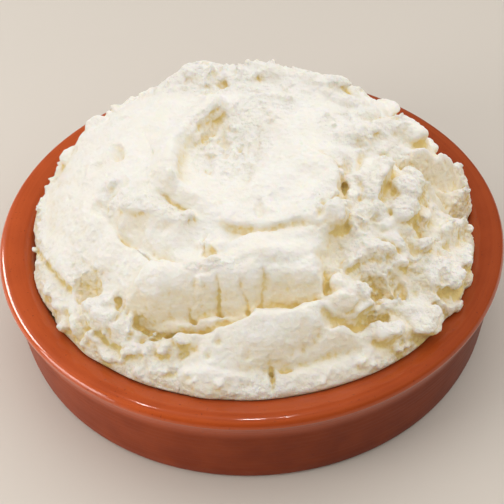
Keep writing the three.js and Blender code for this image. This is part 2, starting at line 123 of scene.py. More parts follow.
def chance(i, j, seed):
    """Repeatable random number from 0 to 1 for a cell of the ground."""
    word = 0xFFFFFFFF
    i = np.asarray(i, np.int64)
    j = np.asarray(j, np.int64)
    h = (i * 374761393 + j * 668265263 + seed * 144269504) & word
    h = ((h ^ (h >> 13)) * 1274126177) & word
    return (h ^ (h >> 16)) / 4294967296.0


def uneven(x, y, cell, seed):
    """Soft unevenness from -1 to 1, with humps about one cell wide."""
    u, v = x / cell, y / cell
    i, j = np.floor(u), np.floor(v)
    a, b = smooth(0, 1, u - i), smooth(0, 1, v - j)
    near = chance(i, j, seed) * (1 - a) + chance(i + 1, j, seed) * a
    far = chance(i, j + 1, seed) * (1 - a) + chance(i + 1, j + 1, seed) * a
    return 2 * (near * (1 - b) + far * b) - 1


def line(*places):
    """A smooth line over the heap through a few places."""
    p = np.array(places, float)
    ends = np.vstack([2 * p[0] - p[1], p, 2 * p[-1] - p[-2]])
    points = []
    for k in range(1, len(ends) - 2):
        a, b, c, d = ends[k - 1:k + 3]
        for t in np.arange(0, 1, 1 / 6):
            points.append(0.5 * (2 * b + (c - a) * t + (2 * a - 5 * b + 4 * c - d) * t * t
                                 + (3 * b - a - 3 * c + d) * t ** 3))
    points.append(p[-1])
    return np.array(points)


def beside(path, x, y):
    """Distance to a line, plus on its left side, how far along it lies, and the line's normal."""
    best = np.full(x.shape, np.inf)
    side = np.ones(x.shape)
    along = np.zeros(x.shape)
    normal_x = np.zeros(x.shape)
    normal_y = np.zeros(x.shape)
    last = len(path) - 1
    for i in range(last):
        px, py = path[i]
        ex, ey = path[i + 1] - path[i]
        t = np.clip(((x - px) * ex + (y - py) * ey) / (ex * ex + ey * ey), 0, 1)
        qx, qy = x - px - t * ex, y - py - t * ey
        distance = np.hypot(qx, qy)
        closer = distance < best
        length = math.hypot(ex, ey)
        best = np.where(closer, distance, best)
        side = np.where(closer, np.where(ex * qy - ey * qx >= 0, 1.0, -1.0), side)
        along = np.where(closer, (i + t) / last, along)
        normal_x = np.where(closer, -ey / length, normal_x)
        normal_y = np.where(closer, ex / length, normal_y)
    return best * side, along, normal_x, normal_y


def toward_ends(along, ends):
    """1 in the middle of a line, falling to 0 over its ends; one share for both or a pair."""
    first, last = ends if isinstance(ends, tuple) else (ends, ends)
    return smooth(0, first, along) * smooth(0, last, 1 - along)


class Relief:
    """Heights and sideways lean of the curd over points of the plan, gathered form by form."""

    def __init__(self, x, y):
        self.x, self.y = x, y
        self.height = np.zeros(x.shape)
        self.lean_x = np.zeros(x.shape)
        self.lean_y = np.zeros(x.shape)

    def around(self, low, high, reach):
        return np.nonzero((self.x > low[0] - reach) & (self.x < high[0] + reach)
                          & (self.y > low[1] - reach) & (self.y < high[1] + reach))[0]

    def lump(self, at, size, turn, height, fullness=1.0):
        """A rounded lump, or a hollow where its height is minus."""
        near = self.around(at, at, max(size))
        x, y = self.x[near] - at[0], self.y[near] - at[1]
        c, s = math.cos(math.radians(turn)), math.sin(math.radians(turn))
        left = 1 - ((x * c + y * s) / size[0]) ** 2 - ((y * c - x * s) / size[1]) ** 2
        self.height[near] += height * np.clip(left, 0, 1) ** fullness * (left > 0)

    def lumps(self, *rows):
        for row in rows:
            self.lump(*row)

    def ridge(self, path, width, height, ends=0.2):
        """A soft ridge along a line, or a groove where its height is minus."""
        near = self.around(path.min(0), path.max(0), width * 3)
        x, y = self.x[near], self.y[near]
        d, along, _, _ = beside(path, x, y)
        d = d + 0.45 * min(width, 1.2) * uneven(x, y, 1.8, 13)
        amount = (1 + 0.45 * uneven(x, y, 2.7, 14)) * toward_ends(along, ends)
        self.height[near] += height * np.exp(-(d / width) ** 2) * amount

    def fold(self, path, rise, face, back, crease, ends=0.15, ragged=0.5, flat=0.0,
             lean=0.0, crease_width=1.6):
        """A fold that rises on the left of its foot line: a face, a crest that leans out
        over the crease in front of it, and a slope back down behind."""
        near = self.around(path.min(0), path.max(0), back + 1)
        x, y = self.x[near], self.y[near]
        d, along, normal_x, normal_y = beside(path, x, y)
        d = d + ragged * (uneven(x, y, 4.2, 11) + 0.45 * uneven(x, y, 2.3, 12))
        amount = toward_ends(along, ends)
        q = np.clip(d / face, 0, 1)
        lift = (1 - flat) * np.sqrt(1 - (1 - q) ** 2) + flat * q
        fall = np.clip((d - face) / (back - face), 0, 1)
        height = np.where(d < face, (rise + crease) * lift - crease,
                          rise * 0.5 * (1 + np.cos(np.pi * fall)))
        height = np.where(d < 0, -crease * np.exp(-(d / crease_width) ** 2), height)
        self.height[near] += height * amount
        out = lean * smooth(0, face * 0.8, d) * (1 - smooth(face, back, d)) * amount
        self.lean_x[near] -= normal_x * out
        self.lean_y[near] -= normal_y * out


def cell_hash(i, j, k, seed):
    word = 0xFFFFFFFF
    h = (i.astype(np.int64) * 374761393 + j.astype(np.int64) * 668265263
         + k.astype(np.int64) * 2147483647 + seed * 144269504) & word
    h = ((h ^ (h >> 13)) * 1274126177) & word
    h = ((h ^ (h >> 16)) * 2246822519) & word
    return (h ^ (h >> 15)) / 4294967296.0


def cloud(p, cell, seed):
    """Smooth three-dimensional noise, about -1 to 1."""
    q = p / cell
    base = np.floor(q)
    t = q - base
    w = t * t * t * (t * (t * 6 - 15) + 10)
    total = np.zeros(len(p))
    for corner in np.ndindex(2, 2, 2):
        c = np.array(corner)
        i, j, k = (base + c).T
        up = 2 * cell_hash(i, j, k, seed) - 1
        turn = 2 * math.pi * cell_hash(i, j, k, seed + 1)
        flat = np.sqrt(1 - up * up)
        step = t - c
        slope = (step[:, 0] * flat * np.cos(turn) + step[:, 1] * flat * np.sin(turn)
                 + step[:, 2] * up)
        weight = np.where(c == 1, w, 1 - w).prod(axis=1)
        total += weight * slope
    return 1.6 * total


def piled_lumps(p, normals, cell, seed, small=0.3, large=0.62, share=0.85):
    """Height over the surface of round lumps of curd piled at random, as many sizes as there
    are, with sharp gaps between them."""
    drift = np.stack([cloud(p, cell * 0.9, seed + 20 + a) for a in range(3)], axis=1)
    q = p + 0.28 * cell * drift
    base = np.floor(q / cell)
    height = np.zeros(len(p))
    for corner in np.ndindex(3, 3, 3):
        i, j, k = (base + np.array(corner) - 1).T
        seat = np.stack([i + cell_hash(i, j, k, seed), j + cell_hash(i, j, k, seed + 1),
                         k + cell_hash(i, j, k, seed + 2)], axis=1) * cell
        size = cell * (small + (large - small) * cell_hash(i, j, k, seed + 3) ** 1.5)
        size = np.where(cell_hash(i, j, k, seed + 4) < share, size, 0)
        way = seat - q
        up = (way * normals).sum(axis=1)
        aside = (way * way).sum(axis=1) - up * up
        size = size * smooth(0.95 * cell, 0.35 * cell, np.abs(up))
        cap = np.minimum(up, 0.25 * size) + np.sqrt(np.clip(size * size - aside, 0, None))
        height = np.maximum(height, np.where(aside < size * size, cap, 0))
    return height / cell


def point_normals(points, triangles):
    a, b, c = (points[triangles[:, n]] for n in range(3))
    face = np.cross(b - a, c - a)
    normals = np.zeros_like(points)
    for n in range(3):
        for axis in range(3):
            normals[:, axis] += np.bincount(triangles[:, n], face[:, axis], len(points))
    return normals / np.maximum(np.linalg.norm(normals, axis=1, keepdims=True), 1e-12)


# ---- named forms of the heap ----
CREST = line((-27, 26), (-20, 32), (-10, 34), (1, 34), (12, 32), (24, 28), (31, 23))


def crest(relief):
    """Ridge and knobs that stand highest, behind the scooped hollow."""
    relief.ridge(CREST, 5.5, 2.4, 0.12)
    relief.lumps(
        ((-14, 34), (7, 5), 10, 1.8), ((6, 34), (5, 4), 0, 1.4), ((26, 26), (5, 3.4), -20, 0.6),
        ((-6.5, 29), (2.6, 3), 30, -3), ((10, 16), (5, 3), 20, -0.6), ((-11, 26), (3, 3), 0, -1),
    )


HOLLOW_WALL = line(
    (-15.5, -18), (-17.4, -12.5), (-17.8, -6), (-16.4, 0.5), (-12.4, 7), (-6.5, 14), (-2, 19),
)
# Rifts and pits in the floor of the hollow: line, width, depth.
HOLLOW_RIFTS = [
    (line((-5.0, 14.4), (-6.6, 9.8), (-7.0, 5.4), (-6.2, 1.4), (-6.2, -4.0)), 1.2, 1.8),
    (line((-11.0, -2.4), (-11.4, -7.8), (-11.4, -13.6)), 1.2, 1.5),
    (line((-0.4, -7.4), (-0.6, -13.8), (-2.6, -18.6)), 1.6, 1.6),
    (line((2.6, -22.0), (2.6, -26.2), (2.2, -29.6)), 1.1, 1.3),
    (line((7.0, -20.6), (6.2, -25.4), (5.9, -29.4)), 0.9, 0.8),
    (line((-8.4, 13.4), (-11.0, 7.8), (-13.6, 3.0)), 1.2, 1.3),
    (line((-13.8, -1), (-14.6, -6), (-13.6, -11)), 0.8, 1.2),
    (line((-1.4, 8), (-2.2, 3), (-1.2, -2)), 0.9, 1.1),
    (line((3, 12), (3.4, 6), (2.2, 1)), 0.8, 0.9),
]
SLAB_RIGHT = line((13, -31), (19, -26.5), (23, -21), (24.6, -16), (22.5, -11), (18.5, -6), (14, 1))
SLAB_FRONT = line((-10, -29.5), (-4, -31.5), (2, -32), (8, -31.5), (14, -31), (21, -32))


def hollow_and_slab(relief):
    """Hollow left by the spoon, its steep left wall, and the smooth slab at its right."""
    relief.lump((-6, 0), (19, 20), 0, -3, 2)
    relief.fold(HOLLOW_WALL, rise=4.0, face=4.4, back=11, crease=0.6, ragged=0.9, flat=0.9,
                lean=0.9)
    for rift, width, depth in HOLLOW_RIFTS:
        relief.ridge(rift, width, -depth, 0.25)
    relief.lumps(
        ((-8.5, 14), (4, 2.6), 30, -1), ((11, -12), (15, 22), -12, 1.6, 2),
    )
    relief.fold(SLAB_RIGHT, rise=2, face=1.8, back=10, crease=1.32, ragged=1.2, lean=1.0)
    relief.fold(SLAB_FRONT, rise=2, face=2, back=9, crease=0.83, lean=1.2, crease_width=1.0)


SECOND_FOLD = line(
    (-8, -33.5), (-7, -38), (-2, -40.5), (6, -41), (14, -39.5), (20, -37), (27, -31),
)
FRONT_FOLD = line(
    (-37, -39), (-33, -45), (-26, -48.4), (-17, -49), (-9, -49.4), (-2, -49.6), (4, -48),
    (11, -48), (20, -47.6),
)
FOLD_GAP = line(
    (-33.8, -45.4), (-27.8, -49.2), (-19.8, -51.6), (-12, -52.9), (-5, -51.8), (0.5, -51.4),
)
# Cracks across the front fold: line, width, depth.
FRONT_CRACKS = [
    (line((-17.0, -47.8), (-16.4, -49.0), (-15.7, -49.8), (-15.0, -51.4)), 0.6, 2.2),
    (line((-14.4, -44.2), (-15.0, -45.6), (-14.8, -47.4)), 0.6, 0.9),
    (line((-9.4, -43.8), (-9.0, -45.4), (-9.3, -46.6)), 0.6, 1.0),
    (line((-9.3, -45.8), (-8.7, -47.2), (-9.0, -48.8), (-8.2, -51.4)), 0.7, 2.6),
    (line((-3.4, -45.0), (-2.9, -47.2), (-1.6, -49.0), (-1.4, -51.4)), 0.65, 1.5),
    (line((2.0, -42.8), (2.9, -45.0), (2.2, -47.0), (1.8, -50.4)), 0.95, 1.9),
    (line((8.8, -43.6), (8.4, -45.6), (9.0, -47.6)), 0.6, 0.8),
    (line((20.4, -39.8), (18.6, -42.2), (19.7, -44.0),
          (18.5, -46.2), (19.9, -48.0), (19.2, -50.5)), 0.6, 2.2),
]
TONGUE_FOOT = line(
    (-17, -58), (-13, -60.4), (-5.4, -61.6), (1.4, -61.4), (10.6, -60.4), (19, -58.4),
    (25.2, -57.2), (31.4, -54.6), (36, -51.6),
)
RIGHT_LOBE = line((19, -55.4), (23.6, -55.2), (28, -55.2), (31.6, -54.8))
TONGUE_GROOVE = line((16.8, -54.0), (15.6, -56.1), (14.6, -57.4), (13.4, -59.4))
TONGUE_PITS = [(11.9, -58.5), (9.1, -59.1), (-9.6, -56.2), (-12.2, -58.6), (-2.2, -59.8)]
LOW_CRACK = line((3.4, -60), (3.9, -63), (3.7, -67))


def front_folds(relief):
    """Folds stacked down the front, from the slab to the rim."""
    relief.fold(SECOND_FOLD, rise=2.6, face=5.6, back=11, crease=0.6, ends=0.1, lean=0.5, flat=0.5)
    relief.lumps(
        ((-7.8, -36), (1.9, 1.9), 0, 1.2), ((-10.6, -37.6), (2, 1.7), 0, -2),
        ((22, -36), (3.4, 4.4), 20, -1.8, 1.5),
    )
    relief.fold(FRONT_FOLD, rise=5.0, face=7.0, back=14, crease=2.8, ends=(0.16, 0.06),
                ragged=0.45, lean=1.5, crease_width=1.3)
    relief.ridge(FOLD_GAP, 1.0, -3.2, (0.12, 0.1))
    for crack, width, depth in FRONT_CRACKS:
        relief.ridge(crack, width, -depth, 0.2)
    relief.lumps(
        ((0, -48.2), (1.7, 3.2), 4, 1.2), ((-12.4, -46.2), (3.0, 3.2), 0, 0.8),
        ((13.8, -44.6), (3.6, 3.2), 0, 0.7),
    )
    relief.ridge(line((-12.8, -43.6), (-13.6, -46.2), (-14.2, -48.2)), 0.6, 1.0)
    relief.ridge(line((17.8, -41), (17.4, -45.6), (17.8, -48.8)), 0.6, 1.0)
    relief.fold(TONGUE_FOOT, rise=5.2, face=7.4, back=13, crease=0.7, ends=(0.5, 0.42), lean=0.8,
                flat=0.1, crease_width=1.1)
    relief.lump((9.5, -53.4), (6.5, 3.0), -6, 0.9)
    relief.ridge(RIGHT_LOBE, 2.8, 1.1)
    relief.ridge(TONGUE_GROOVE, 0.8, -1.6)
    relief.lump((22, -55.8), (5.4, 2.8), 20, 1.6, 1.3)
    for place in TONGUE_PITS:
        relief.lump(place, (1.5, 1.0), 20, -1.6)
    relief.lumps(
        ((-12, -62.6), (10, 3.4), -6, 1.5, 1.3), ((-4, -65), (3.4, 1.5), -12, -1.6),
    )
    relief.ridge(LOW_CRACK, 0.8, -2.2, 0.1)
    relief.lump((6.6, -61.2), (3.2, 1.1), 0, -2.4)


LEFT_CUT = line((-64.6, -5), (-63.4, -9), (-59.4, -18.6), (-55.8, -25), (-51.4, -31), (-48.2, -36))
LOW_LEFT_CUT = line((-47.8, -42.6), (-43, -47.4), (-38.6, -50.6), (-34.6, -53), (-28, -55.6))
FLANK_TOP = line((-18, -40), (-24, -36.2), (-30, -31.4), (-35, -27.5), (-38.5, -21), (-44.5, -15))
TROUGH = line((-35, -24), (-29, -27), (-22, -30), (-12, -34.5))
TROUGH_STEP = line(
    (-38, -19.5), (-35.8, -25), (-31.6, -29.6), (-27.4, -33.4), (-22, -36.6), (-15, -38.2),
)
KNIFE_CUT = line((-25.6, -16.9), (-22.1, -19.6), (-19.8, -22.0), (-17.4, -23.7), (-14.4, -25.2))
KNIFE_LINE = line((-31, -31.6), (-28.3, -34.2), (-25.4, -37.2), (-22.4, -39.8))
FACET_LINE = line((-29.8, 11.4), (-27.6, 3), (-26, -4.4))
LEFT_LEDGE = line((-65.5, -4), (-63, -11), (-58.5, -20), (-54.5, -26.8), (-47, -36.4))
LOW_LEFT_LEDGE = line((-53, -37), (-47.1, -43.4), (-41.4, -48), (-34.3, -53.7), (-29, -56))
C_CRACK = line(
    (-37.4, -40.4), (-35.6, -41.8), (-35.9, -43.8), (-34.9, -45.2), (-36.4, -47), (-38.4, -49),
)
C_RIDGE = line((-33.4, -42), (-32.6, -46), (-34, -49.2), (-38, -50.4))
DARK_PITS = line((-32.4, -50.2), (-30, -52.4), (-27.6, -51), (-25.4, -53.4), (-25, -55.6))
SECOND_PITS = line((-27.8, -48.8), (-26.8, -51.4), (-23.6, -51.2), (-20.6, -53))
SMALL_RIDGE = line((-14, -53), (-18, -54.6), (-22.5, -57.4))


def left_flank(relief):
    """Smooth smeared flank at the left, the trough above it, and its dents."""
    relief.fold(FLANK_TOP, rise=1.3, face=1.4, back=11, crease=0.88, lean=0.5, crease_width=1.1)
    relief.ridge(TROUGH, 4.2, -1.2)
    relief.fold(TROUGH_STEP, rise=3.8, face=7.6, back=13, crease=0.4, ragged=0.8, flat=0.9,
                lean=0.5)
    relief.fold(KNIFE_CUT, rise=1.7, face=3.4, back=7, crease=0.8, ragged=0, flat=0.8,
                crease_width=0.6)
    relief.lumps(
        ((-39.5, -15.5), (5, 4), 30, -1.6, 1.5), ((-35.5, -12.5), (3.4, 2.6), 30, -1),
        ((-42.6, -1.0), (3.0, 2.5), 30, -1.1), ((-36.4, 0.8), (2.0, 4.4), 12, -2.8),
        ((-38.4, 4.4), (1.6, 1.8), 0, -1.4), ((-27, 3), (6, 10), 14, -0.9, 1.5),
        ((-44.4, -35.6), (5.2, 3.4), -40, -5.2, 0.8),
    )
    relief.fold(LEFT_LEDGE, rise=1, face=1.2, back=6, crease=0.55, ends=0.1, lean=0.5,
                crease_width=0.6)
    relief.fold(LOW_LEFT_LEDGE, rise=1.3, face=1.4, back=5, crease=0.66, ends=0.1, lean=0.5,
                crease_width=0.8)
    relief.lump((-41, -43), (6, 4.8), -30, 2.6)
    relief.ridge(C_CRACK, 0.7, -2.2)
    relief.ridge(C_RIDGE, 1.8, 1.8)
    relief.ridge(DARK_PITS, 1.0, -3.0)
    relief.ridge(SECOND_PITS, 0.9, -2.4)
    relief.lump((-23, -54.8), (2.4, 2), 0, 1.2)
    relief.ridge(SMALL_RIDGE, 1.4, 1.8)
    relief.ridge(line((-20.6, -56.2), (-18.2, -56.9), (-16.4, -56.2), (-13.8, -56.8)), 0.9, -2.4)
    relief.lumps(
        ((-29.4, -58.5), (2.4, 2), 0, -1.4), ((-22.4, -61.2), (2.4, 1.8), 0, -1.4),
    )


RIGHT_SLAB = line((33.6, -24), (36.2, -18), (38.2, -13.8), (39.4, -11.2), (40.8, -7.6))
SLOT = line((35.2, -23), (38, -17.4), (40.2, -12.6), (42, -8))
SLAB_CRACK = line((34, -4), (30.9, -8), (29.4, -13))
SLAB_VALLEY = line((27.2, -7), (26.4, -12), (25.6, -17), (23, -23.5))
COLUMN = line((46, -9), (44.2, -13.6), (43, -18.4), (40.6, -24))
# Creases between the broken forms at the right: line, width, depth.
RIGHT_CREASES = [
    (line((25.6, -23.4), (29.4, -26.6), (33.4, -27.2), (38.4, -27.8)), 0.9, 1.8),
    (line((31.6, -29.6), (35.1, -31.2), (38.4, -32.4), (42.0, -33.8)), 1.0, 2.0),
    (line((45.6, -23.4), (47.0, -26.2), (48.4, -30.0)), 0.9, 1.7),
    (line((52.4, -26.4), (50.0, -31.4), (51.4, -34.7), (47.6, -38.4)), 0.8, 1.6),
    (line((38.8, -27.6), (42.6, -29.6), (43.2, -33.0)), 0.9, 1.6),
    (line((53.4, -30.6), (56.8, -31.0), (59.4, -28.6)), 0.7, 1.4),
    (line((40.6, -12.4), (41.6, -17.6), (38.6, -22.6), (36.6, -25.8)), 0.8, 1.4),
    (line((28.6, -14.2), (30.4, -18.6), (29.0, -22.8)), 0.8, 1.2),
    (line((46.6, -13.4), (44.4, -14.2), (41.8, -13.4)), 0.6, 1.0),
    (line((45.6, -18.2), (42.8, -18.8), (40.4, -18.0)), 0.6, 1.0),
]
MIDDLE_RIDGE = line((36.4, -21.4), (33.8, -24.6), (29.4, -27.8), (24.6, -30.6))


def right_peaks(relief):
    """Peaks, valleys and a standing slab at the right of the hollow."""
    relief.fold(RIGHT_SLAB, rise=3.8, face=1.1, back=6.8, crease=1.1, ragged=0.3, lean=1.0,
                crease_width=1.1)
    relief.ridge(SLOT, 2.0, -0.6)
    relief.ridge(SLAB_CRACK, 0.9, -2.0)
    relief.ridge(SLAB_VALLEY, 1.6, -3.0)
    relief.ridge(COLUMN, 3.2, 3.4)
    relief.ridge(MIDDLE_RIDGE, 2.2, 2.4)
    relief.lumps(
        ((30.5, 1.5), (6, 5), 30, 1.8), ((38, 6.5), (5, 4.6), 0, 1.5),
        ((31, 21), (6, 4.4), 10, 1.2), ((35, 14), (4.4, 3.6), 0, 1.6),
        ((28, 10), (4, 3), 20, -0.6), ((46, 10), (7.5, 5), -40, 2), ((41, 18), (6, 5), -40, 1.6),
        ((21.6, -29), (3.8, 3.2), 0, 2.4), ((42, -24), (4, 3), -20, 1),
        ((48.6, -15), (1.5, 2.2), 0, -2.6), ((44.8, -24.2), (1.7, 1.5), 0, -2.6),
    )
    for crease, width, depth in RIGHT_CREASES:
        relief.ridge(crease, width, -depth, 0.25)
    relief.lumps(
        ((33, -29.5), (4, 2.6), 0, -1.4), ((50.4, -19), (3.4, 3.4), 0, -0.8),
    )


RUFFLE_SCALE = 1.3  # of all their heights
# Ruffles of the fan at the right edge: line, width, height.
RUFFLES = [
    (line((46, -2), (51, 0), (55.6, 3.4), (60, 7), (67, 14)), 1.8, 2.8),
    (line((50, -2.4), (55, -1.4), (61, 1.8), (65, 4.4), (68, 6.6)), 1.7, -2.2),
    (line((54, -4), (59, -1.6), (63.4, 1.8), (67, 4.6)), 0.8, 1.0),
    (line((47, -9.4), (52.6, -8.6), (57.8, -6), (64.2, 0.2), (67, 2)), 1.5, 2.8),
    (line((49, -12), (55, -11.6), (60, -9.6), (66, -6)), 1.8, -2.4),
    (line((52, -23.5), (57.4, -17.6), (62, -12.8), (66.5, -9)), 1.6, 2.4),
    (line((52, -26.6), (57.6, -21.6), (62.6, -15.4)), 1.0, -1.4),
    (line((48, 8), (53, 13), (57, 20), (60, 28)), 2.2, 1.6),
]


def fan(relief):
    """Fan of ruffles at the right edge."""
    for ruffle, width, height in RUFFLES:
        relief.ridge(ruffle, width, RUFFLE_SCALE * height, 0.12)


ARCH = line((23.6, -40.6), (26.2, -38), (29, -35.8), (33.4, -34), (37.4, -33.8), (41.4, -36.6))
BLACK_GAP = line(
    (15.5, -50.6), (18.3, -52.2), (21.4, -53.2), (25.4, -53), (28.6, -51.4), (31.8, -49.4),
    (35, -47.8), (38.4, -46.2),
)
OVERHANG = line(
    (40.6, -43.4), (43.4, -44.8), (46.4, -43.4), (50.2, -39.8), (54.2, -37.2), (58.2, -31.8),
    (61, -25.4),
)


def hole_and_lumps(relief):
    """Deep hole at the lower right, the arch over it, and the loose lumps round it."""
    relief.fold(ARCH, rise=1.0, face=2.4, back=7, crease=0.3, ragged=1, lean=0.6)
    relief.lumps(
        ((33, -43), (4.8, 3.4), -14, -9, 0.6), ((38.4, -40.6), (3, 2.8), -20, -4.6, 0.8),
        ((42.6, -38.8), (6, 4.2), -38, -2.0, 1.5),
    )
    relief.ridge(BLACK_GAP, 1.0, -2.8, 0.12)
    relief.lumps(
        ((24.8, -46.4), (6, 5), 0, 2.2, 0.8), ((35.2, -45.2), (4.6, 3.4), 30, 2.2, 0.8),
        ((36, -52.2), (4.4, 3), 10, 2.4, 0.8), ((44.8, -48.2), (5, 3.6), 35, 3.0, 0.8),
    )
    relief.fold(OVERHANG, rise=1.8, face=1.6, back=8, crease=1.8, ragged=1.1, lean=1.1,
                crease_width=1.1)
    relief.lump((50.5, -33), (7, 6), -45, 1.4)


FAR_FOLD = line((42, 36), (27, 47), (4, 53), (-18, 49), (-36, 37))
FAR_LOW_FOLD = line((14, 61), (-6, 62), (-28, 55), (-46, 40))
FAR_SHORT_FOLD = line((52, 33), (42, 45), (28, 54))


def far_side(relief):
    """The far side, folded and lumpy like the rest."""
    relief.fold(FAR_FOLD, rise=2.4, face=3.2, back=10, crease=0.77, lean=1.2)
    relief.fold(FAR_LOW_FOLD, rise=1.8, face=2.6, back=7, crease=0.55, lean=0.8)
    relief.fold(FAR_SHORT_FOLD, rise=1.8, face=2.4, back=6, crease=0.55, lean=0.8)
    relief.lumps(
        ((-36, 22), (7, 6), 40, 1.6), ((-48, 22), (6, 7), 20, 1.2), ((-8, 44), (8, 4), 10, 1.6),
        ((18, 43), (7, 4), -20, 1.8),
    )


# Swells and dips behind the crest that make the uneven ridge line: place, radius, height.
SKYLINE = [
    ((-60, 16), 7, -2.2), ((-56, 26), 6, -1.6), ((-52, 24), 8, 1.2), ((-46, 32), 8, 1.3),
    ((-38, 38), 8, -2.2), ((-30, 42), 8, -3.4), ((-22, 46), 8, -2.0), ((-20, 34), 8, -1.4),
    ((-14, 47), 8, 1.3), ((-6, 48), 8, -1.7), ((2, 50), 8, -2.3), ((10, 49), 8, -1.0),
    ((17, 47), 8, -3.0), ((24, 44), 8, -2.5), ((27, 30), 8, 1.4), ((31, 41), 8, -3.4),
    ((38, 39), 8, -1.7), ((44, 32), 8, 2.8), ((41, 30), 6, 0.8), ((47, 13), 6, 4.7),
    ((52, 13), 9, 2.0), ((58, 12), 6, -3.4),
]


def skyline(relief):
    for place, radius, height in SKYLINE:
        relief.lump(place, (radius, radius), 0, height, 1.5)


# Fine marks of the knife and narrow cracks, cut last: line, width, depth.
FINE_MARKS = [
    (KNIFE_CUT, 0.4, 1.0), (KNIFE_LINE, 0.45, 1.5), (FACET_LINE, 0.35, 0.5),
    (LEFT_CUT, 0.4, 0.6), (LOW_LEFT_CUT, 0.4, 0.7), (FOLD_GAP, 0.6, 1.0),
    (C_CRACK, 0.5, 0.9), (LOW_CRACK, 0.45, 0.6), (BLACK_GAP, 0.6, 1.2),
    (line((-13.6, -39.6), (-12.2, -36.8), (-12.6, -33.6), (-10.8, -31.6)), 0.4, 0.9),
    *((crack, 0.4, 0.12 * depth) for crack, _, depth in FRONT_CRACKS),
    *((crease, 0.5, 0.2 * depth) for crease, _, depth in RIGHT_CREASES),
]


# ---- the heap ----
SUNK_EDGES = [(28, 10, 5), (-6.5, 3.4, 8)]  # bearing, spread, drop
EDGE_FLAKES = [  # bearing, spread, reach
    (8, 5, 1.4), (11, 3, 0.8), (-6, 2.6, -3.6), (-11, 2, 0.9), (-34, 5, 0.8), (-54, 12, 1.1),
    (-90, 30, 0.4),
    (-102, 3, 0.7), (-118, 16, 0.5), (-132, 4, 0.9), (-149, 3, -0.7), (188, 12, -1.9),
    (165, 8, -1.1),
]


def near_bearing(angle, bearing, spread):
    off = np.degrees(angle) - bearing
    off -= 360 * np.round(off / 360)
    return np.exp(-(off / spread) ** 2)


def dish_height(r):
    """Height of the dish's inside or of its rim under a point."""
    profile = np.vstack([RIM_TOP, INNER_PROFILE])[::-1]
    return np.interp(r, profile[:, 0], profile[:, 1])


def dish_inside(z):
    """Radius of the dish's inside at a height."""
    return np.interp(z, INNER_PROFILE[::-1, 1], INNER_PROFILE[::-1, 0])


def curd_edge(angle):
    """Radius and height of the edge where the curd lies on the dish's rim."""
    r = CURD_RADIUS + 0.35 * uneven(20 * np.cos(angle), 20 * np.sin(angle), 3, 5)
    for bearing, spread, reach in EDGE_FLAKES:
        r = r + reach * near_bearing(angle, bearing, spread)
    drop = np.zeros(angle.shape)
    for bearing, spread, depth in SUNK_EDGES:
        drop = drop + depth * near_bearing(angle, bearing, spread)
    z = DISH_HEIGHT + EDGE_RISE - drop
    r = np.where(drop > 0.3, np.minimum(r, dish_inside(z - EDGE_THICK) - GAP), r)
    return r, np.maximum(z, dish_height(r) + GAP + EDGE_THICK)


def heap(x, y, edge_r, edge_z):
    r = np.hypot(x, y)
    inward = np.clip(edge_r - r, 0, None)
    outer = smooth(8, 30, r)
    back = smooth(-0.95, -0.1, y / np.maximum(r, 1e-9)) * outer + 0.6 * (1 - outer)
    slope = FRONT_SLOPE + (BACK_SLOPE - FRONT_SLOPE) * back
    reach = FRONT_REACH + (BACK_REACH - FRONT_REACH) * back
    top = DISH_HEIGHT + FRONT_RISE + (BACK_RISE - FRONT_RISE) * back
    left = np.clip(1 - inward / reach, 0, None)
    return edge_z + (top - edge_z) * (1 - left ** slope)


def curd_surface(x, y):
    """Points of the smeared curd, without its crumbs."""
    edge_r, edge_z = curd_edge(np.arctan2(y, x))
    relief = Relief(x, y)
    for form in (crest, hollow_and_slab, front_folds, left_flank, right_peaks, fan,
                 hole_and_lumps, far_side, skyline):
        form(relief)
    inward = np.clip(edge_r - np.hypot(x, y), 0, None)
    brim = 1.2 * np.sqrt(np.clip(1 - (1 - inward / 2.5) ** 2, 0, 1)) * smooth(7, 2.5, inward)
    humps = 0.45 * uneven(x, y, 8, 1) + 0.35 * uneven(x, y, 4.5, 2) + 0.25 * uneven(x, y, 2.6, 3)
    keep = smooth(0, 3, inward)
    z = heap(x, y, edge_r, edge_z) + keep * relief.height + brim + humps * smooth(0, 1.5, inward)
    return np.stack([x + keep * relief.lean_x, y + keep * relief.lean_y, z], axis=1)


def even_out(x, y, edges, fixed):
    """Moves the plan points so that they lie evenly along the steep faces too."""
    first, second = edges.T
    count = len(x)
    for _ in range(2):
        points = curd_surface(x, y)
        for step in range(14):
            length = np.linalg.norm(points[first] - points[second], axis=1)
            weight = np.bincount(first, length, count) + np.bincount(second, length, count)
            middle_x = (np.bincount(first, length * x[second], count)
                        + np.bincount(second, length * x[first], count)) / weight
            middle_y = (np.bincount(first, length * y[second], count)
                        + np.bincount(second, length * y[first], count)) / weight
            x = np.where(fixed, x, x + 0.6 * (middle_x - x))
            y = np.where(fixed, y, y + 0.6 * (middle_y - y))
            if step % 5 == 4:
                points = curd_surface(x, y)
    return x, y


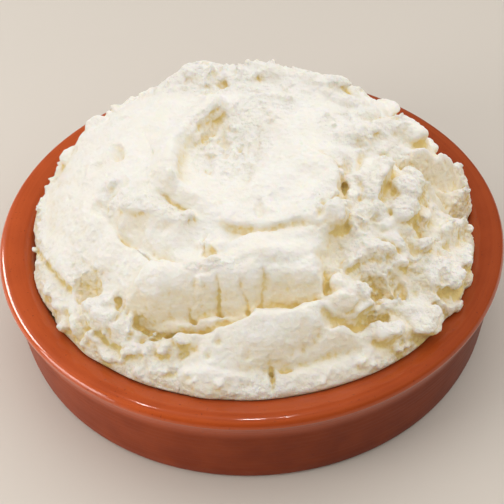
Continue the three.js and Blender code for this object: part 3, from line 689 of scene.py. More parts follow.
# Where the curd is loose and crumbly, and where the knife smeared it smooth:
# middle, size, turn in degrees, amount.
LOOSE_PLACES = [
    ((-4, 2), (13, 17), 0, 0.8), ((6, 17), (12, 9), 30, 0.75), ((-2, 32), (34, 9), 0, 0.85),
    ((-39, -14), (6, 5.5), 30, 0.8), ((-26, -22.5), (14, 4), -28, 0.95),
    ((-37, 2), (3, 6), 12, 0.7),
    ((-44, -33), (9, 7), -20, 0.7), ((-40, -46), (10, 7), -30, 0.7),
    ((-27, -53), (13, 7), -25, 0.8),
    ((-9, -42.5), (9, 2.2), 0, 0.8), ((45, -14), (12, 14), 0, 1.0), ((33, -20), (7, 10), -20, 0.8),
    ((34, 6), (16, 14), 0, 0.75), ((24, -26), (9, 6), -10, 0.9), ((30, -41), (12, 9), -20, 1.0),
    ((40, -47), (13, 8), 30, 1.0), ((50, -32), (11, 15), -30, 1.0), ((33, -34), (10, 4), 0, 0.9),
    ((54, -16), (9, 10), 0, 0.9), ((26, -12), (4, 9), 10, 0.6), ((30, 24), (14, 8), -30, 0.7),
]
SMEARED_PLACES = [
    ((-22, -2), (4, 9), 10, 0.9), ((-18, -20), (5, 3), -35, 0.9), ((11, -13), (9, 15), -12, 0.85),
    ((-50, -10), (10, 16), 20, 0.85), ((-36, -30), (13, 6), -35, 0.9),
    ((8, -37), (15, 3.6), 0, 0.9),
    ((-18, -47), (20, 5), -8, 0.6), ((8, -47), (12, 4.4), 0, 0.8), ((3, -56), (22, 5.5), -3, 0.9),
    ((-12, -62.4), (10, 4.4), -6, 0.85), ((20, -61), (20, 4), 24, 0.8),
    ((39, -14), (2.6, 6), -30, 0.8),
    ((57, 3), (8, 6), 35, 0.9), ((57, -9), (7, 3.4), 15, 0.9), ((40, -38), (3, 3.4), 0, 0.5),
    ((51, -19.5), (4.4, 4.4), 0, 0.75),
    ((-30, 8), (8, 12), -20, 0.85), ((-24, -31), (13, 4.4), -35, 0.85),
]


SCRAPED_PLACE = ((-3, 5), (15, 17), 0, 1.0)  # the floor of the hollow
SCRAPE_BEARING = 62  # degrees


def painted(p, place):
    """Amount of a place at each point, falling off softly at its border."""
    middle, size, turn, amount = place
    x, y = p[:, 0] - middle[0], p[:, 1] - middle[1]
    c, s = math.cos(math.radians(turn)), math.sin(math.radians(turn))
    away = np.hypot((x * c + y * s) / size[0], (y * c - x * s) / size[1])
    return amount * smooth(1.15, 0.65, away)


def looseness(p):
    """How crumbly the curd is at a point, 0 to 1."""
    edge_r, _ = curd_edge(np.arctan2(p[:, 1], p[:, 0]))
    inward = np.clip(edge_r - np.hypot(p[:, 0], p[:, 1]), 0, None)
    stray = 1.6 * cloud(p, 5, 41)
    shifted = p + np.stack([stray, 1.6 * cloud(p, 5, 43), np.zeros(len(p))], axis=1)
    loose = np.full(len(p), 0.22)
    loose = np.maximum(loose, 0.95 * smooth(8, 3, inward + stray))
    loose = np.maximum(loose, 0.6 * smooth(24, 40, p[:, 1]))
    for place in LOOSE_PLACES:
        loose = np.maximum(loose, painted(shifted, place))
    for place in SMEARED_PLACES:
        loose = loose * (1 - painted(shifted, place))
    return np.clip(loose, 0.04, 1)


def room_to_crumble(p):
    """0 where the curd lies against the dish, 1 where its surface is free."""
    r = np.hypot(p[:, 0], p[:, 1])
    over = smooth(0.4, 1.6, p[:, 2] - dish_height(r))
    beside_dish = np.where(p[:, 2] > 28.3, 1, smooth(0.4, 1.6, dish_inside(p[:, 2]) - r))
    return over * beside_dish * (p[:, 2] > 20)


def crumble(points, triangles, loose):
    """Lumps, crumbs and grain of the loose curd, and the faint drag marks of the smeared curd."""
    room = room_to_crumble(points)
    top = np.nonzero(room > 0)[0]
    edge_r, _ = curd_edge(np.arctan2(points[top, 1], points[top, 0]))
    brink = smooth(7, 3, edge_r - np.hypot(points[top, 0], points[top, 1]))
    for cell, depth, least, seed in CRUMB_SCALES:
        normals = point_normals(points, triangles)[top]
        p = points[top]
        patch = smooth(-0.5, 0.3, cloud(p, 2.3 * cell, seed + 50))
        amount = np.maximum(least, loose[top] * (0.3 + 0.7 * patch)) * room[top]
        amount *= 1 + brink * (-0.35 if cell < 2 else -0.8 if cell > 4 else 0.1)
        lumps = piled_lumps(p, normals, cell, seed) - 0.3
        points[top] = p + normals * (depth * amount * lumps)[:, None]
    normals = point_normals(points, triangles)[top]
    p = points[top]
    c, s = math.cos(math.radians(SCRAPE_BEARING)), math.sin(math.radians(SCRAPE_BEARING))
    scraped = np.stack([p[:, 0] * s - p[:, 1] * c, 0.25 * (p[:, 0] * c + p[:, 1] * s), p[:, 2]],
                       axis=1)
    in_hollow = painted(p, SCRAPED_PLACE)
    drag = p * np.array([0.45, 1.0, 1.0])
    marks = (0.2 * cloud(drag, 3.0, 91) + (0.16 + 0.14 * loose[top]) * cloud(p, 1.3, 93)
             + 0.5 * in_hollow * cloud(scraped, 1.6, 95))
    for path, width, depth in FINE_MARKS:
        near = np.nonzero((p[:, 0] > path[:, 0].min() - 2) & (p[:, 0] < path[:, 0].max() + 2)
                          & (p[:, 1] > path[:, 1].min() - 2) & (p[:, 1] < path[:, 1].max() + 2))[0]
        away, along, _, _ = beside(path, p[near, 0], p[near, 1])
        away = away + 0.25 * cloud(p[near], 1.5, 97)
        marks[near] -= depth * np.exp(-(away / width) ** 2) * toward_ends(along, 0.25)
    points[top] = p + normals * (room[top] * marks)[:, None]
    return points


# Map of heights that shelter is read from: width of a cell, cells from the middle to an edge,
# and how far out it looks in each direction.
SKY_CELL = 0.5
SKY_CELLS = 150
SKY_REACHES = (0.7, 1.2, 2, 3, 4.5, 6.5, 9, 13, 18)


def sky_cell(place):
    return np.clip(np.rint(place / SKY_CELL).astype(int) + SKY_CELLS, 0, 2 * SKY_CELLS)


def shelter(points):
    """How deep each point lies in the folds and holes of the curd around it, 0 on open tops
    to 1 where no sky shows."""
    tops = np.full((2 * SKY_CELLS + 1, 2 * SKY_CELLS + 1), -99.0)
    np.maximum.at(tops, (sky_cell(points[:, 0]), sky_cell(points[:, 1])), points[:, 2])
    open_sky = np.zeros(len(points))
    bearings = np.radians(np.arange(0, 360, 22.5))
    for bearing in bearings:
        rise = np.zeros(len(points))
        for away in SKY_REACHES:
            i = sky_cell(points[:, 0] + away * np.cos(bearing))
            j = sky_cell(points[:, 1] + away * np.sin(bearing))
            rise = np.maximum(rise, (tops[i, j] - points[:, 2] - 0.15) / away)
        open_sky += 1 / (1 + rise * rise) / len(bearings)
    return 1 - open_sky


CREASE_DEPTH = 0.12  # depth at which a crease counts in full


def hollows(points, edges, rounds):
    """Way from each point to its surroundings smoothed over."""
    first, second = edges.T
    count = len(points)
    degree = np.bincount(first, minlength=count) + np.bincount(second, minlength=count)
    blurred = points.copy()
    for _ in range(rounds):
        total = np.zeros_like(blurred)
        for axis in range(3):
            total[:, axis] = (np.bincount(first, blurred[second, axis], count)
                              + np.bincount(second, blurred[first, axis], count))
        blurred = 0.5 * blurred + 0.5 * total / degree[:, None]
    return blurred - points


def write_attribute(piece, name, values):
    attribute = piece.data.attributes.new(name, "FLOAT", "POINT")
    attribute.data.foreach_set("value", values.astype(np.float32))


def write_attributes(piece, points, edges, triangles, sheltered, loose):
    """What the finish of the curd goes by: painted shade in its folds and creases, and its
    roughness and bumps.
    """
    normals = point_normals(points, triangles)
    narrow = (hollows(points, edges, 6) * normals).sum(axis=1)
    write_attribute(piece, "shelter", sheltered)
    write_attribute(piece, "crease", np.clip(narrow / CREASE_DEPTH, 0, 1))
    write_attribute(piece, "loose", loose)


def read_corners(items, corners):
    found = np.empty(len(items) * corners, np.int32)
    items.foreach_get("vertices", found)
    return found.reshape(-1, corners)


def read_edges(piece):
    return read_corners(piece.data.edges, 2)


def read_triangles(piece):
    return read_corners(piece.data.polygons, 3)


def read_chosen(piece):
    chosen = np.zeros(len(piece.data.vertices), bool)
    piece.data.vertices.foreach_get("select", chosen)
    return chosen


def hexagon_rings(points, rings):
    """Ring number and bearing of each point of a subdivided hexagon."""
    flat = points[:, :2] / np.hypot(points[:, 0], points[:, 1]).max()
    bearing = np.degrees(np.arctan2(flat[:, 1], flat[:, 0]))
    sector = np.floor((bearing - HEXAGON_CORNER + 1e-6) / 60)
    a = np.radians(60 * sector + HEXAGON_CORNER)
    b = a + math.radians(60)
    area = np.cos(a) * np.sin(b) - np.sin(a) * np.cos(b)
    u = (flat[:, 0] * np.sin(b) - flat[:, 1] * np.cos(b)) / area
    v = (flat[:, 1] * np.cos(a) - flat[:, 0] * np.sin(a)) / area
    ring = np.rint((u + v) * rings)
    part = np.where(ring > 0, v / np.maximum(u + v, 1e-12), 0)
    return ring, np.radians(60 * (sector + part) + HEXAGON_CORNER)


def make_curd():
    """The heap with its folds and hollows, closed underneath."""
    deselect_everything()
    bpy.ops.mesh.primitive_circle_add(vertices=6, radius=CURD_RADIUS * MM, fill_type="TRIFAN",
                                      location=(0, 0, DISH_HEIGHT * MM))
    curd = bpy.context.object
    curd.name = "smeared_curd"
    bpy.ops.object.transform_apply(location=True, rotation=True, scale=True)
    bpy.ops.object.mode_set(mode="EDIT")
    bpy.ops.mesh.select_all(action="SELECT")
    for cuts in CUTS:
        bpy.ops.mesh.subdivide(number_cuts=cuts)
    bpy.ops.object.mode_set(mode="OBJECT")

    rings = np.prod([cuts + 1 for cuts in CUTS])
    ring, angle = hexagon_rings(read_points(curd), rings)
    edge_r, _ = curd_edge(angle)
    x = edge_r * ring / rings * np.cos(angle)
    y = edge_r * ring / rings * np.sin(angle)
    edges = read_edges(curd)
    rim = ring == rings

    x, y = even_out(x, y, edges, rim)
    place_points(curd, curd_surface(x, y))
    hang_underside(curd, rim)
    return curd


def hang_underside(curd, rim):
    """Draws the edge of the curd down inside the dish and closes it over the floor."""
    curd.data.vertices.foreach_set("select", rim)
    select_edges_between(curd)
    bpy.ops.object.mode_set(mode="EDIT")
    bpy.ops.mesh.select_mode(type="EDGE")
    for level, height in enumerate(UNDERSIDE_LEVELS):
        bpy.ops.mesh.extrude_edges_move()
        bpy.ops.object.mode_set(mode="OBJECT")
        chosen = read_chosen(curd)
        points = read_points(curd)
        angle = np.arctan2(points[chosen, 1], points[chosen, 0])
        edge_r, edge_z = curd_edge(angle)
        if height is None:
            r = edge_r - 0.2
            z = np.maximum(dish_height(r) + GAP, edge_z - EDGE_THICK)
        else:
            z = np.minimum(height, edge_z - EDGE_THICK - 0.8 * (level + 1))
            r = dish_inside(z) - GAP
            z = z + GAP / 2
        points[chosen] = np.stack([r * np.cos(angle), r * np.sin(angle), z], axis=1)
        place_points(curd, points)
        bpy.ops.object.mode_set(mode="EDIT")
    bpy.ops.mesh.edge_face_add()
    bpy.ops.object.mode_set(mode="OBJECT")


def select_edges_between(piece):
    """Selects the open edges whose two points are selected."""
    edges = read_edges(piece)
    chosen = read_chosen(piece)
    loop_edges = np.empty(len(piece.data.loops), np.int32)
    piece.data.loops.foreach_get("edge_index", loop_edges)
    open_edge = np.bincount(loop_edges, minlength=len(edges)) == 1
    piece.data.polygons.foreach_set("select", np.zeros(len(piece.data.polygons), bool))
    piece.data.edges.foreach_set("select", open_edge & chosen[edges].all(axis=1))


def finish_smooth(piece):
    """Merges doubles, turns the faces outward and shades them smooth."""
    deselect_everything()
    bpy.context.view_layer.objects.active = piece
    piece.select_set(True)
    bpy.ops.object.mode_set(mode="EDIT")
    bpy.ops.mesh.select_all(action="SELECT")
    bpy.ops.mesh.remove_doubles(threshold=1e-6)
    bpy.ops.mesh.normals_make_consistent(inside=False)
    bpy.ops.object.mode_set(mode="OBJECT")
    bpy.ops.object.shade_smooth_by_angle(angle=math.radians(SHADED_ANGLE))
    piece.select_set(False)


# ---- loose lumps and crumbs ----
# Lumps that broke off and lie in the curd: place, half sizes, turn, how far they stand out.
LUMPS = [
    # round the hole at the lower right
    ((23.2, -44.8), (4, 3.8, 4.2), 10, 2.4), ((27.6, -45.8), (3.6, 3.4, 3.8), -40, 2),
    ((22.8, -48.6), (3.4, 2.8, 3.4), 0, 1.9), ((27.4, -49), (3.4, 2.6, 3.4), 30, 1.5),
    ((30.2, -47.8), (2.2, 2, 2.2), 0, 1), ((35.2, -45), (4.6, 3.2, 3.8), 32, 2.9),
    ((36.2, -37.4), (1.3, 1.2, 1.2), 0, 0.7), ((25.8, -38.2), (2.7, 2.2, 2.4), 20, 1.9),
    ((28.6, -36.2), (2.6, 2.1, 2.4), 30, 2.1), ((31.8, -34.8), (2.7, 2.2, 2.4), 10, 2.1),
    ((35.2, -33.8), (2.4, 2, 2.2), 0, 1.8), ((38.6, -34.6), (2.4, 2, 2.2), -20, 1.6),
    ((41.2, -45.4), (4.4, 2.2, 2.4), 18, 1.6), ((46.4, -28.8), (2.4, 2.2, 2.4), 0, 2.4),
    ((44.8, -48.2), (4.8, 3.4, 3.8), 35, 3), ((36, -52.2), (4.2, 2.8, 3.4), 10, 2.6),
    ((30.2, -52.4), (2.8, 2, 2.6), 10, 1.9), ((49.6, -41.6), (2.2, 1.7, 2), 40, 1.6),
    ((52.8, -40.8), (2, 1.6, 2), 40, 1.6), ((55.2, -38.8), (1.9, 1.6, 1.9), 50, 1.5),
    ((48.6, -44.4), (1.9, 1.6, 1.6), 30, 1), ((40.2, -50.4), (1.6, 1.3, 1.3), 0, 0.8),
    ((31.4, -47.6), (1.9, 1.5, 1.6), 0, 0.9),
    # crumbly mass at the right
    ((51, -32), (5, 4, 3), 30, 1.3), ((56.4, -25.6), (3.8, 4.4, 2.6), -20, 1.2),
    ((47.6, -36), (3.8, 3, 2.8), 30, 1.2), ((54.8, -34), (3.4, 2.8, 2.8), 50, 1.2),
    ((59.6, -28.6), (2.4, 2.8, 2.2), -30, 1), ((60.8, -21.4), (2.2, 3, 2.2), -10, 1),
    # between the slab and the peaks
    ((21.8, -29.2), (4.4, 3.4, 3.8), 0, 2.8), ((24.4, -24.6), (2.6, 1.9, 2.2), 30, 1.7),
    ((27.6, -25.8), (2.2, 1.9, 2), -10, 1.5), ((19, -32), (2, 1.4, 1.4), 0, 0.8),
    ((23.6, -20), (1.6, 2, 1.6), 0, 0.8), ((24.4, -13.6), (1.4, 1.8, 1.4), 0, 0.6),
    # crumbly column and its surroundings
    ((45.6, -10.8), (4.2, 3.6, 3.4), 10, 1), ((43.4, -15.8), (4.2, 3.6, 3.2), 0, 0.9),
    ((47.2, -19.8), (3.4, 2.8, 2.6), 0, 0.9), ((41.2, -22), (4, 3.2, 2.8), 0, 0.9),
    ((36, -26.6), (3.4, 2.2, 2.2), 30, 1.1),
    # peaks at the upper right
    ((30.8, 20), (4.4, 3.4, 3), 10, 0.6), ((25, 22), (3.4, 2.8, 2.6), 0, 0.5),
    ((30.2, 1.4), (4.4, 3.6, 3.6), 30, 0.5), ((37.6, 6.2), (4.2, 3.6, 3.4), 0, 0.5),
    ((42.8, 8.2), (3.6, 3.2, 2.8), -20, 0.6), ((47.6, 7.4), (4, 3.4, 2.8), -30, 0.7),
    ((35, 14), (3.6, 2.8, 2.4), 0, 0.9), ((26.4, 26.4), (4.2, 1.6, 2.2), -12, 1.2),
    # along the crest
    ((-14, 34.4), (5, 3.6, 3), 10, 0.6), ((-7.4, 36), (3.6, 3, 2.6), 0, 0.5),
    ((-21, 30.6), (3.4, 2.8, 2.6), 30, 1), ((5.4, 34.6), (4, 3, 2.8), 0, 0.5),
    ((13.6, 31.6), (3.6, 3, 2.4), -10, 0.5), ((19.6, 28.4), (3.2, 2.6, 2.4), 0, 0.5),
    ((-0.6, 26.6), (3, 2.4, 2), 0, 0.8), ((8.6, 22), (2.8, 2.2, 2), 20, 0.8),
    # lower left
    ((-39.4, -44.8), (4.6, 3.8, 3.4), -30, 1.6), ((-43.2, -40.4), (3, 2.6, 2.4), 0, 1.1),
    ((-35, -48.4), (3, 2.6, 2.4), 20, 1.1), ((-47, -42.6), (3, 2.4, 2.2), 40, 1),
    ((-50.8, -40), (2.4, 2, 1.8), 40, 0.9), ((-42.8, -47.6), (3, 2.2, 2), -40, 1),
    ((-32.2, -52.6), (2.6, 2.2, 2), 0, 1), ((-27.6, -53.6), (2.6, 2, 2.4), 10, 1.1),
    ((-23.2, -55.2), (2.2, 1.8, 2.2), 0, 1.2), ((-38.4, -51.6), (3, 2, 1.8), -35, 0.9),
    ((-53.4, -34), (2.2, 2.8, 1.9), 20, 0.9), ((-56.2, -29), (2, 2.8, 1.8), 20, 0.9),
    ((-19, -54.6), (2.4, 1.8, 1.8), 0, 1),
    # along the trough
    ((-39.4, -13.6), (2.2, 1.9, 1.8), 10, 0.9), ((-36.6, -17), (2.4, 2, 2), -30, 1),
    ((-32.2, -20.2), (2.6, 2, 2), 10, 1), ((-28.6, -22.6), (2.2, 1.9, 1.8), -10, 0.9),
    ((-25.2, -24), (2.3, 1.8, 1.8), 20, 0.9), ((-21, -25.6), (2.4, 1.8, 1.8), -20, 0.8),
    ((-17.4, -26.6), (2.2, 1.7, 1.7), -10, 0.7), ((-34.4, -14.4), (2, 1.8, 1.7), 0, 0.7),
    ((-12, -34.2), (2, 1.8, 1.8), 10, 1), ((-8.3, -35.6), (1.9, 1.7, 1.6), 0, 1),
    ((-14.4, -40.2), (2.6, 1.8, 1.8), 0, 0.7), ((-9.6, -40.6), (2.6, 1.9, 1.9), 0, 0.8),
    ((-4.4, -40.6), (2, 1.5, 1.5), 0, 0.6), ((-40.8, -12.8), (2.2, 1.8, 1.5), 0, 0.6),
    ((-37.8, 4), (1.8, 2.2, 1.6), 0, 0.6),
    # on the far side
    ((-44, 26), (4, 3.4, 2.8), 30, 1.2), ((-30, 44), (4.2, 3, 2.6), 20, 1.2),
    ((-10, 54), (4, 3, 2.4), 0, 1.1), ((12, 52), (4.4, 3.2, 2.6), 0, 1.2),
    ((30, 46), (3.8, 3.2, 2.6), -20, 1.1), ((44, 33), (3.8, 3.2, 2.6), -40, 1.2),
    ((55, 18), (3.2, 2.8, 2.2), -60, 1), ((-54, 22), (3.2, 2.8, 2.2), 60, 1),
    ((2, 58), (3.4, 2.4, 2), 0, 0.9), ((-40, 42), (3, 2.6, 2.2), 30, 0.9),
]
LUMP_SEED, CRUMB_SEED = 11, 23
LUMP_SCALE = 1.12  # of all half sizes above
PROUD_SCALE = 1.15  # of how far they stand out
CRUMB_COUNT = 500
EDGE_CRUMB_COUNT = 130
CRUMB_SIZE = (0.5, 1.4)  # smallest and largest half width


def turn_matrix(draw, tilt):
    """A turn about a random level axis by up to the tilt, in degrees."""
    bearing = draw.uniform(0, 2 * math.pi)
    axis = Vector((math.cos(bearing), math.sin(bearing), 0))
    return np.array(Matrix.Rotation(math.radians(draw.uniform(-tilt, tilt)), 3, axis))


def broken_shape(directions, draw, sides=11):
    """Radius of a broken lump in each direction: flattish sides with rounded edges."""
    facing = draw.normal(size=(sides, 3))
    facing /= np.linalg.norm(facing, axis=1, keepdims=True)
    reach = np.clip(directions @ facing.T, 0, None) / draw.uniform(0.72, 1.0, sides)
    return 1 / (0.15 + (reach ** 8).sum(axis=1)) ** (1 / 8)


def new_ball(subdivisions):
    deselect_everything()
    bpy.ops.mesh.primitive_ico_sphere_add(subdivisions=subdivisions, radius=MM, location=(0, 0, 0))
    return bpy.context.object


def make_lumps():
    """Broken lumps of curd, half sunk in the heap."""
    draw = np.random.default_rng(LUMP_SEED)
    lumps = []
    for (x, y), half, turn, proud in LUMPS:
        lump = new_ball(4)
        directions = read_points(lump)
        points = (directions * broken_shape(directions, draw)[:, None] * LUMP_SCALE
                  * np.array(half))
        c, s = math.cos(math.radians(turn)), math.sin(math.radians(turn))
        points = points @ np.array([(c, s, 0), (-s, c, 0), (0, 0, 1)]) @ turn_matrix(draw, 14)
        ground = curd_surface(np.array([float(x)]), np.array([float(y)]))[0]
        place_points(lump, points + ground + np.array([0, 0, PROUD_SCALE * proud - half[2]]))
        lumps.append(lump)
    return lumps


def make_crumbs(ground):
    """Crumbs scattered over the loose curd and along its edge on the rim."""
    draw = np.random.default_rng(CRUMB_SEED)
    pattern = new_ball(2)
    directions = read_points(pattern)
    edge_r, _ = curd_edge(np.arctan2(ground[:, 1], ground[:, 0]))
    inward = edge_r - np.hypot(ground[:, 0], ground[:, 1])
    on_top = (ground[:, 2] > DISH_HEIGHT - 0.5) | (inward > 3)
    over_heap = np.clip(looseness(ground) - 0.3, 0, 1) * (inward > 1.5) * on_top
    near_edge = 1.0 * (inward < 2.6) * (inward > 0.7) * on_top
    seats = np.concatenate([
        draw.choice(len(ground), CRUMB_COUNT, replace=False, p=over_heap / over_heap.sum()),
        draw.choice(len(ground), EDGE_CRUMB_COUNT, replace=False, p=near_edge / near_edge.sum()),
    ])
    crumbs = []
    for seat in seats:
        crumb = pattern.copy()
        crumb.data = pattern.data.copy()
        bpy.context.scene.collection.objects.link(crumb)
        size = CRUMB_SIZE[0] + (CRUMB_SIZE[1] - CRUMB_SIZE[0]) * draw.random() ** 2
        stretch = draw.uniform(0.75, 1.3, 3) * size
        points = directions * broken_shape(directions, draw, 8)[:, None] * stretch
        points = points @ turn_matrix(draw, 90)
        lift = np.array([0, 0, size * draw.uniform(-0.2, 0.35)])
        place_points(crumb, points + ground[seat] + lift)
        crumbs.append(crumb)
    deselect_everything()
    pattern.select_set(True)
    bpy.ops.object.delete()
    return crumbs


def apply_modifier(piece, kind, **settings):
    deselect_everything()
    bpy.context.view_layer.objects.active = piece
    piece.select_set(True)
    modifier = piece.modifiers.new(kind.lower(), kind)
    for name, value in settings.items():
        setattr(modifier, name, value)
    bpy.ops.object.modifier_apply(modifier=modifier.name)


def press_together(curd, pieces):
    """Joins heap, lumps and crumbs into one skin of soft curd."""
    deselect_everything()
    for piece in pieces:
        piece.select_set(True)
    curd.select_set(True)
    bpy.context.view_layer.objects.active = curd
    bpy.ops.object.join()
    apply_modifier(curd, "REMESH", mode="VOXEL", voxel_size=GRAIN_OF_MESH * MM, adaptivity=0)
    bpy.ops.object.mode_set(mode="EDIT")
    bpy.ops.mesh.select_all(action="SELECT")
    bpy.ops.mesh.quads_convert_to_tris()
    drop_what_hangs_free(curd)


def drop_what_hangs_free(curd):
    """Keeps only the skin that reaches lowest."""
    bpy.ops.mesh.select_mode(type="VERT")
    bpy.ops.mesh.select_all(action="DESELECT")
    bpy.ops.object.mode_set(mode="OBJECT")
    heights = read_points(curd)[:, 2]
    curd.data.vertices.foreach_set("select", np.arange(len(heights)) == heights.argmin())
    bpy.ops.object.mode_set(mode="EDIT")
    bpy.ops.mesh.select_linked()
    bpy.ops.mesh.select_all(action="INVERT")
    bpy.ops.mesh.delete(type="VERT")
    bpy.ops.object.mode_set(mode="OBJECT")


def soften(points, edges, rounds):
    """Rubs down the steps that the new skin was cut in."""
    for _ in range(rounds):
        points = points + hollows(points, edges, 1)
    return points


def thin_out_underside(curd):
    """Coarser faces where the curd lies hidden in the dish; the rest keeps its faces."""
    points = read_points(curd)
    hidden = np.nonzero(room_to_crumble(points) == 0)[0]
    group = curd.vertex_groups.new(name="hidden")
    group.add(hidden.tolist(), 1.0, "REPLACE")
    share = CURD_TRIANGLES / len(curd.data.polygons)
    if share < 1:
        apply_modifier(curd, "DECIMATE", ratio=share, vertex_group="hidden")
    curd.vertex_groups.clear()


def make_heap():
    """The finished curd: heap, broken lumps and crumbs pressed together, then crumbled."""
    curd = make_curd()
    ground = read_points(curd)
    press_together(curd, make_lumps() + make_crumbs(ground))
    points = soften(read_points(curd), read_edges(curd), 2)
    place_points(curd, crumble(points, read_triangles(curd), looseness(points)))
    thin_out_underside(curd)
    finish_smooth(curd)
    points = read_points(curd)
    write_attributes(curd, points, read_edges(curd), read_triangles(curd),
                     shelter(points), looseness(points))
    return curd


# ---- dish ----
def dish_profile():
    """Half section from the middle of the foot round the rim to the floor, rounded off."""
    band = DISH_HEIGHT - RIM_BAND
    corners = np.array([
        (40, 0), (69.8, 0), (71.2, 0.5), (71.9, 1.9), (72.4, 8), (73.0, 17), (73.5, band - 0.4),
        (74.3, band + 0.1), (75, band + 0.9), (75, band + 1.8), (74.4, DISH_HEIGHT - 0.5),
        (73.2, DISH_HEIGHT), (70.6, DISH_HEIGHT - 0.1), *INNER_PROFILE[:-1], (30, FLOOR_THICK),
    ])
    for _ in range(2):
        near = 0.75 * corners[:-1] + 0.25 * corners[1:]
        far = 0.25 * corners[:-1] + 0.75 * corners[1:]
        cut = np.stack([near, far], axis=1).reshape(-1, 2)
        corners = np.vstack([corners[:1], cut, corners[-1:]])
    return corners


def make_dish():
    """Thrown dish, drawn up ring by ring from its foot."""
    deselect_everything()
    profile = dish_profile()
    bpy.ops.mesh.primitive_circle_add(vertices=DISH_SIDES, radius=profile[0, 0] * MM,
                                      fill_type="NGON", location=(0, 0, 0))
    dish = bpy.context.object
    dish.name = "glazed_dish"
    bpy.ops.object.mode_set(mode="EDIT")
    bpy.ops.mesh.select_mode(type="EDGE")
    bpy.ops.mesh.select_all(action="SELECT")
    for (r0, z0), (r1, z1) in zip(profile[:-1], profile[1:]):
        bpy.ops.mesh.extrude_edges_move()
        bpy.ops.transform.translate(value=(0, 0, (z1 - z0) * MM))
        bpy.ops.transform.resize(value=(r1 / r0, r1 / r0, 1), center_override=(0, 0, 0))
    bpy.ops.mesh.edge_face_add()
    bpy.ops.object.mode_set(mode="OBJECT")
    points = read_points(dish)
    length = np.concatenate([[0], np.cumsum(np.hypot(*np.diff(profile, axis=0).T))])
    along = np.repeat(length, DISH_SIDES)
    turn = np.arctan2(points[:, 1], points[:, 0])
    outside = points[:, 2] < DISH_HEIGHT - RIM_BAND + 0.6 * np.sin(7 * turn) * 0.2
    glaze = np.where(outside & (along < 70), smooth(19, DISH_HEIGHT - RIM_BAND, points[:, 2]), 1.0)
    # Band along the lower edge of the lip, which the finish paints lighter: a painted highlight
    # where the lip's shoulder catches light, and thinner glaze at the edge.
    lip = np.exp(-((points[:, 2] - (DISH_HEIGHT - RIM_BAND + 0.4)) / 0.35) ** 2) * (along < 80)
    for name, values in (("thrown", along), ("glaze", glaze), ("lip", lip)):
        write_attribute(dish, name, values)
    wobble = 1 + 0.0006 * np.sin(2 * turn + 0.7) + 0.0004 * np.sin(5 * turn)
    rings = 0.035 * np.sin(2.1 * along + turn) * smooth(30, 34, along)
    r = np.hypot(points[:, 0], points[:, 1])
    grown = np.minimum(r * wobble + rings, DISH_RADIUS)
    points[:, :2] *= (grown / r)[:, None]
    place_points(dish, points)
    finish_smooth(dish)
    return dish


# ---- materials ----
def new_material(name):
    material = bpy.data.materials.new(name)
    material.use_nodes = True
    nodes = material.node_tree.nodes
    nodes.clear()
    output = nodes.new("ShaderNodeOutputMaterial")
    shader = nodes.new("ShaderNodeBsdfPrincipled")
    material.node_tree.links.new(shader.outputs["BSDF"], output.inputs["Surface"])
    return material, shader


class Nodes:
    """Short names for the nodes that the finishes and the sky are built from."""

    def __init__(self, tree):
        self.tree = tree
        self.place = self.add("ShaderNodeTexCoord").outputs["Object"]

    def add(self, kind, **settings):
        node = self.tree.nodes.new(kind)
        for name, value in settings.items():
            setattr(node, name, value)
        return node

    def join(self, source, socket):
        if hasattr(source, "is_output"):
            self.tree.links.new(source, socket)
        else:
            socket.default_value = source

    def attribute(self, name):
        return self.add("ShaderNodeAttribute", attribute_name=name).outputs["Fac"]

    def noise(self, size, detail=3.0, rough=0.5, place=None, twist=0.0):
        node = self.add("ShaderNodeTexNoise")
        self.join(place if place is not None else self.place, node.inputs["Vector"])
        node.inputs["Scale"].default_value = 1 / (size * MM)
        node.inputs["Detail"].default_value = detail
        node.inputs["Roughness"].default_value = rough
        node.inputs["Distortion"].default_value = twist
        return node.outputs["Fac"]

    def math(self, operation, *values):
        node = self.add("ShaderNodeMath", operation=operation)
        for value, socket in zip(values, node.inputs):
            self.join(value, socket)
        return node.outputs["Value"]

    def span(self, value, low, high, to_low=0.0, to_high=1.0):
        node = self.add("ShaderNodeMapRange", interpolation_type="SMOOTHSTEP")
        for source, name in ((value, "Value"), (low, "From Min"), (high, "From Max"),
                             (to_low, "To Min"), (to_high, "To Max")):
            self.join(source, node.inputs[name])
        return node.outputs["Result"]

    def mix(self, amount, first, second):
        node = self.add("ShaderNodeMix", data_type="RGBA")
        self.join(amount, node.inputs["Factor"])
        self.join(first, node.inputs["A"])
        self.join(second, node.inputs["B"])
        return node.outputs["Result"]

    def scaled(self, shade, amount):
        node = self.add("ShaderNodeVectorMath", operation="SCALE")
        self.join(shade, node.inputs[0])
        self.join(amount, node.inputs["Scale"])
        return node.outputs["Vector"]

    def mottled(self, size, detail, border, first, second):
        """Two shades in soft patches."""
        patches = self.span(self.noise(size, detail), *border)
        return self.mix(patches, colour(*first), colour(*second))

    def bump(self, height, depth, under=None):
        node = self.add("ShaderNodeBump")
        node.inputs["Strength"].default_value = 1.0
        node.inputs["Distance"].default_value = depth * MM
        self.join(height, node.inputs["Height"])
        if under is not None:
            self.join(under, node.inputs["Normal"])
        return node.outputs["Normal"]


def colour(red, green, blue):
    return (red, green, blue, 1.0)


def set_sockets(shader, **values):
    """Constant values of a shader's sockets, named with _ for the blanks."""
    for name, value in values.items():
        shader.inputs[name.replace("_", " ")].default_value = value


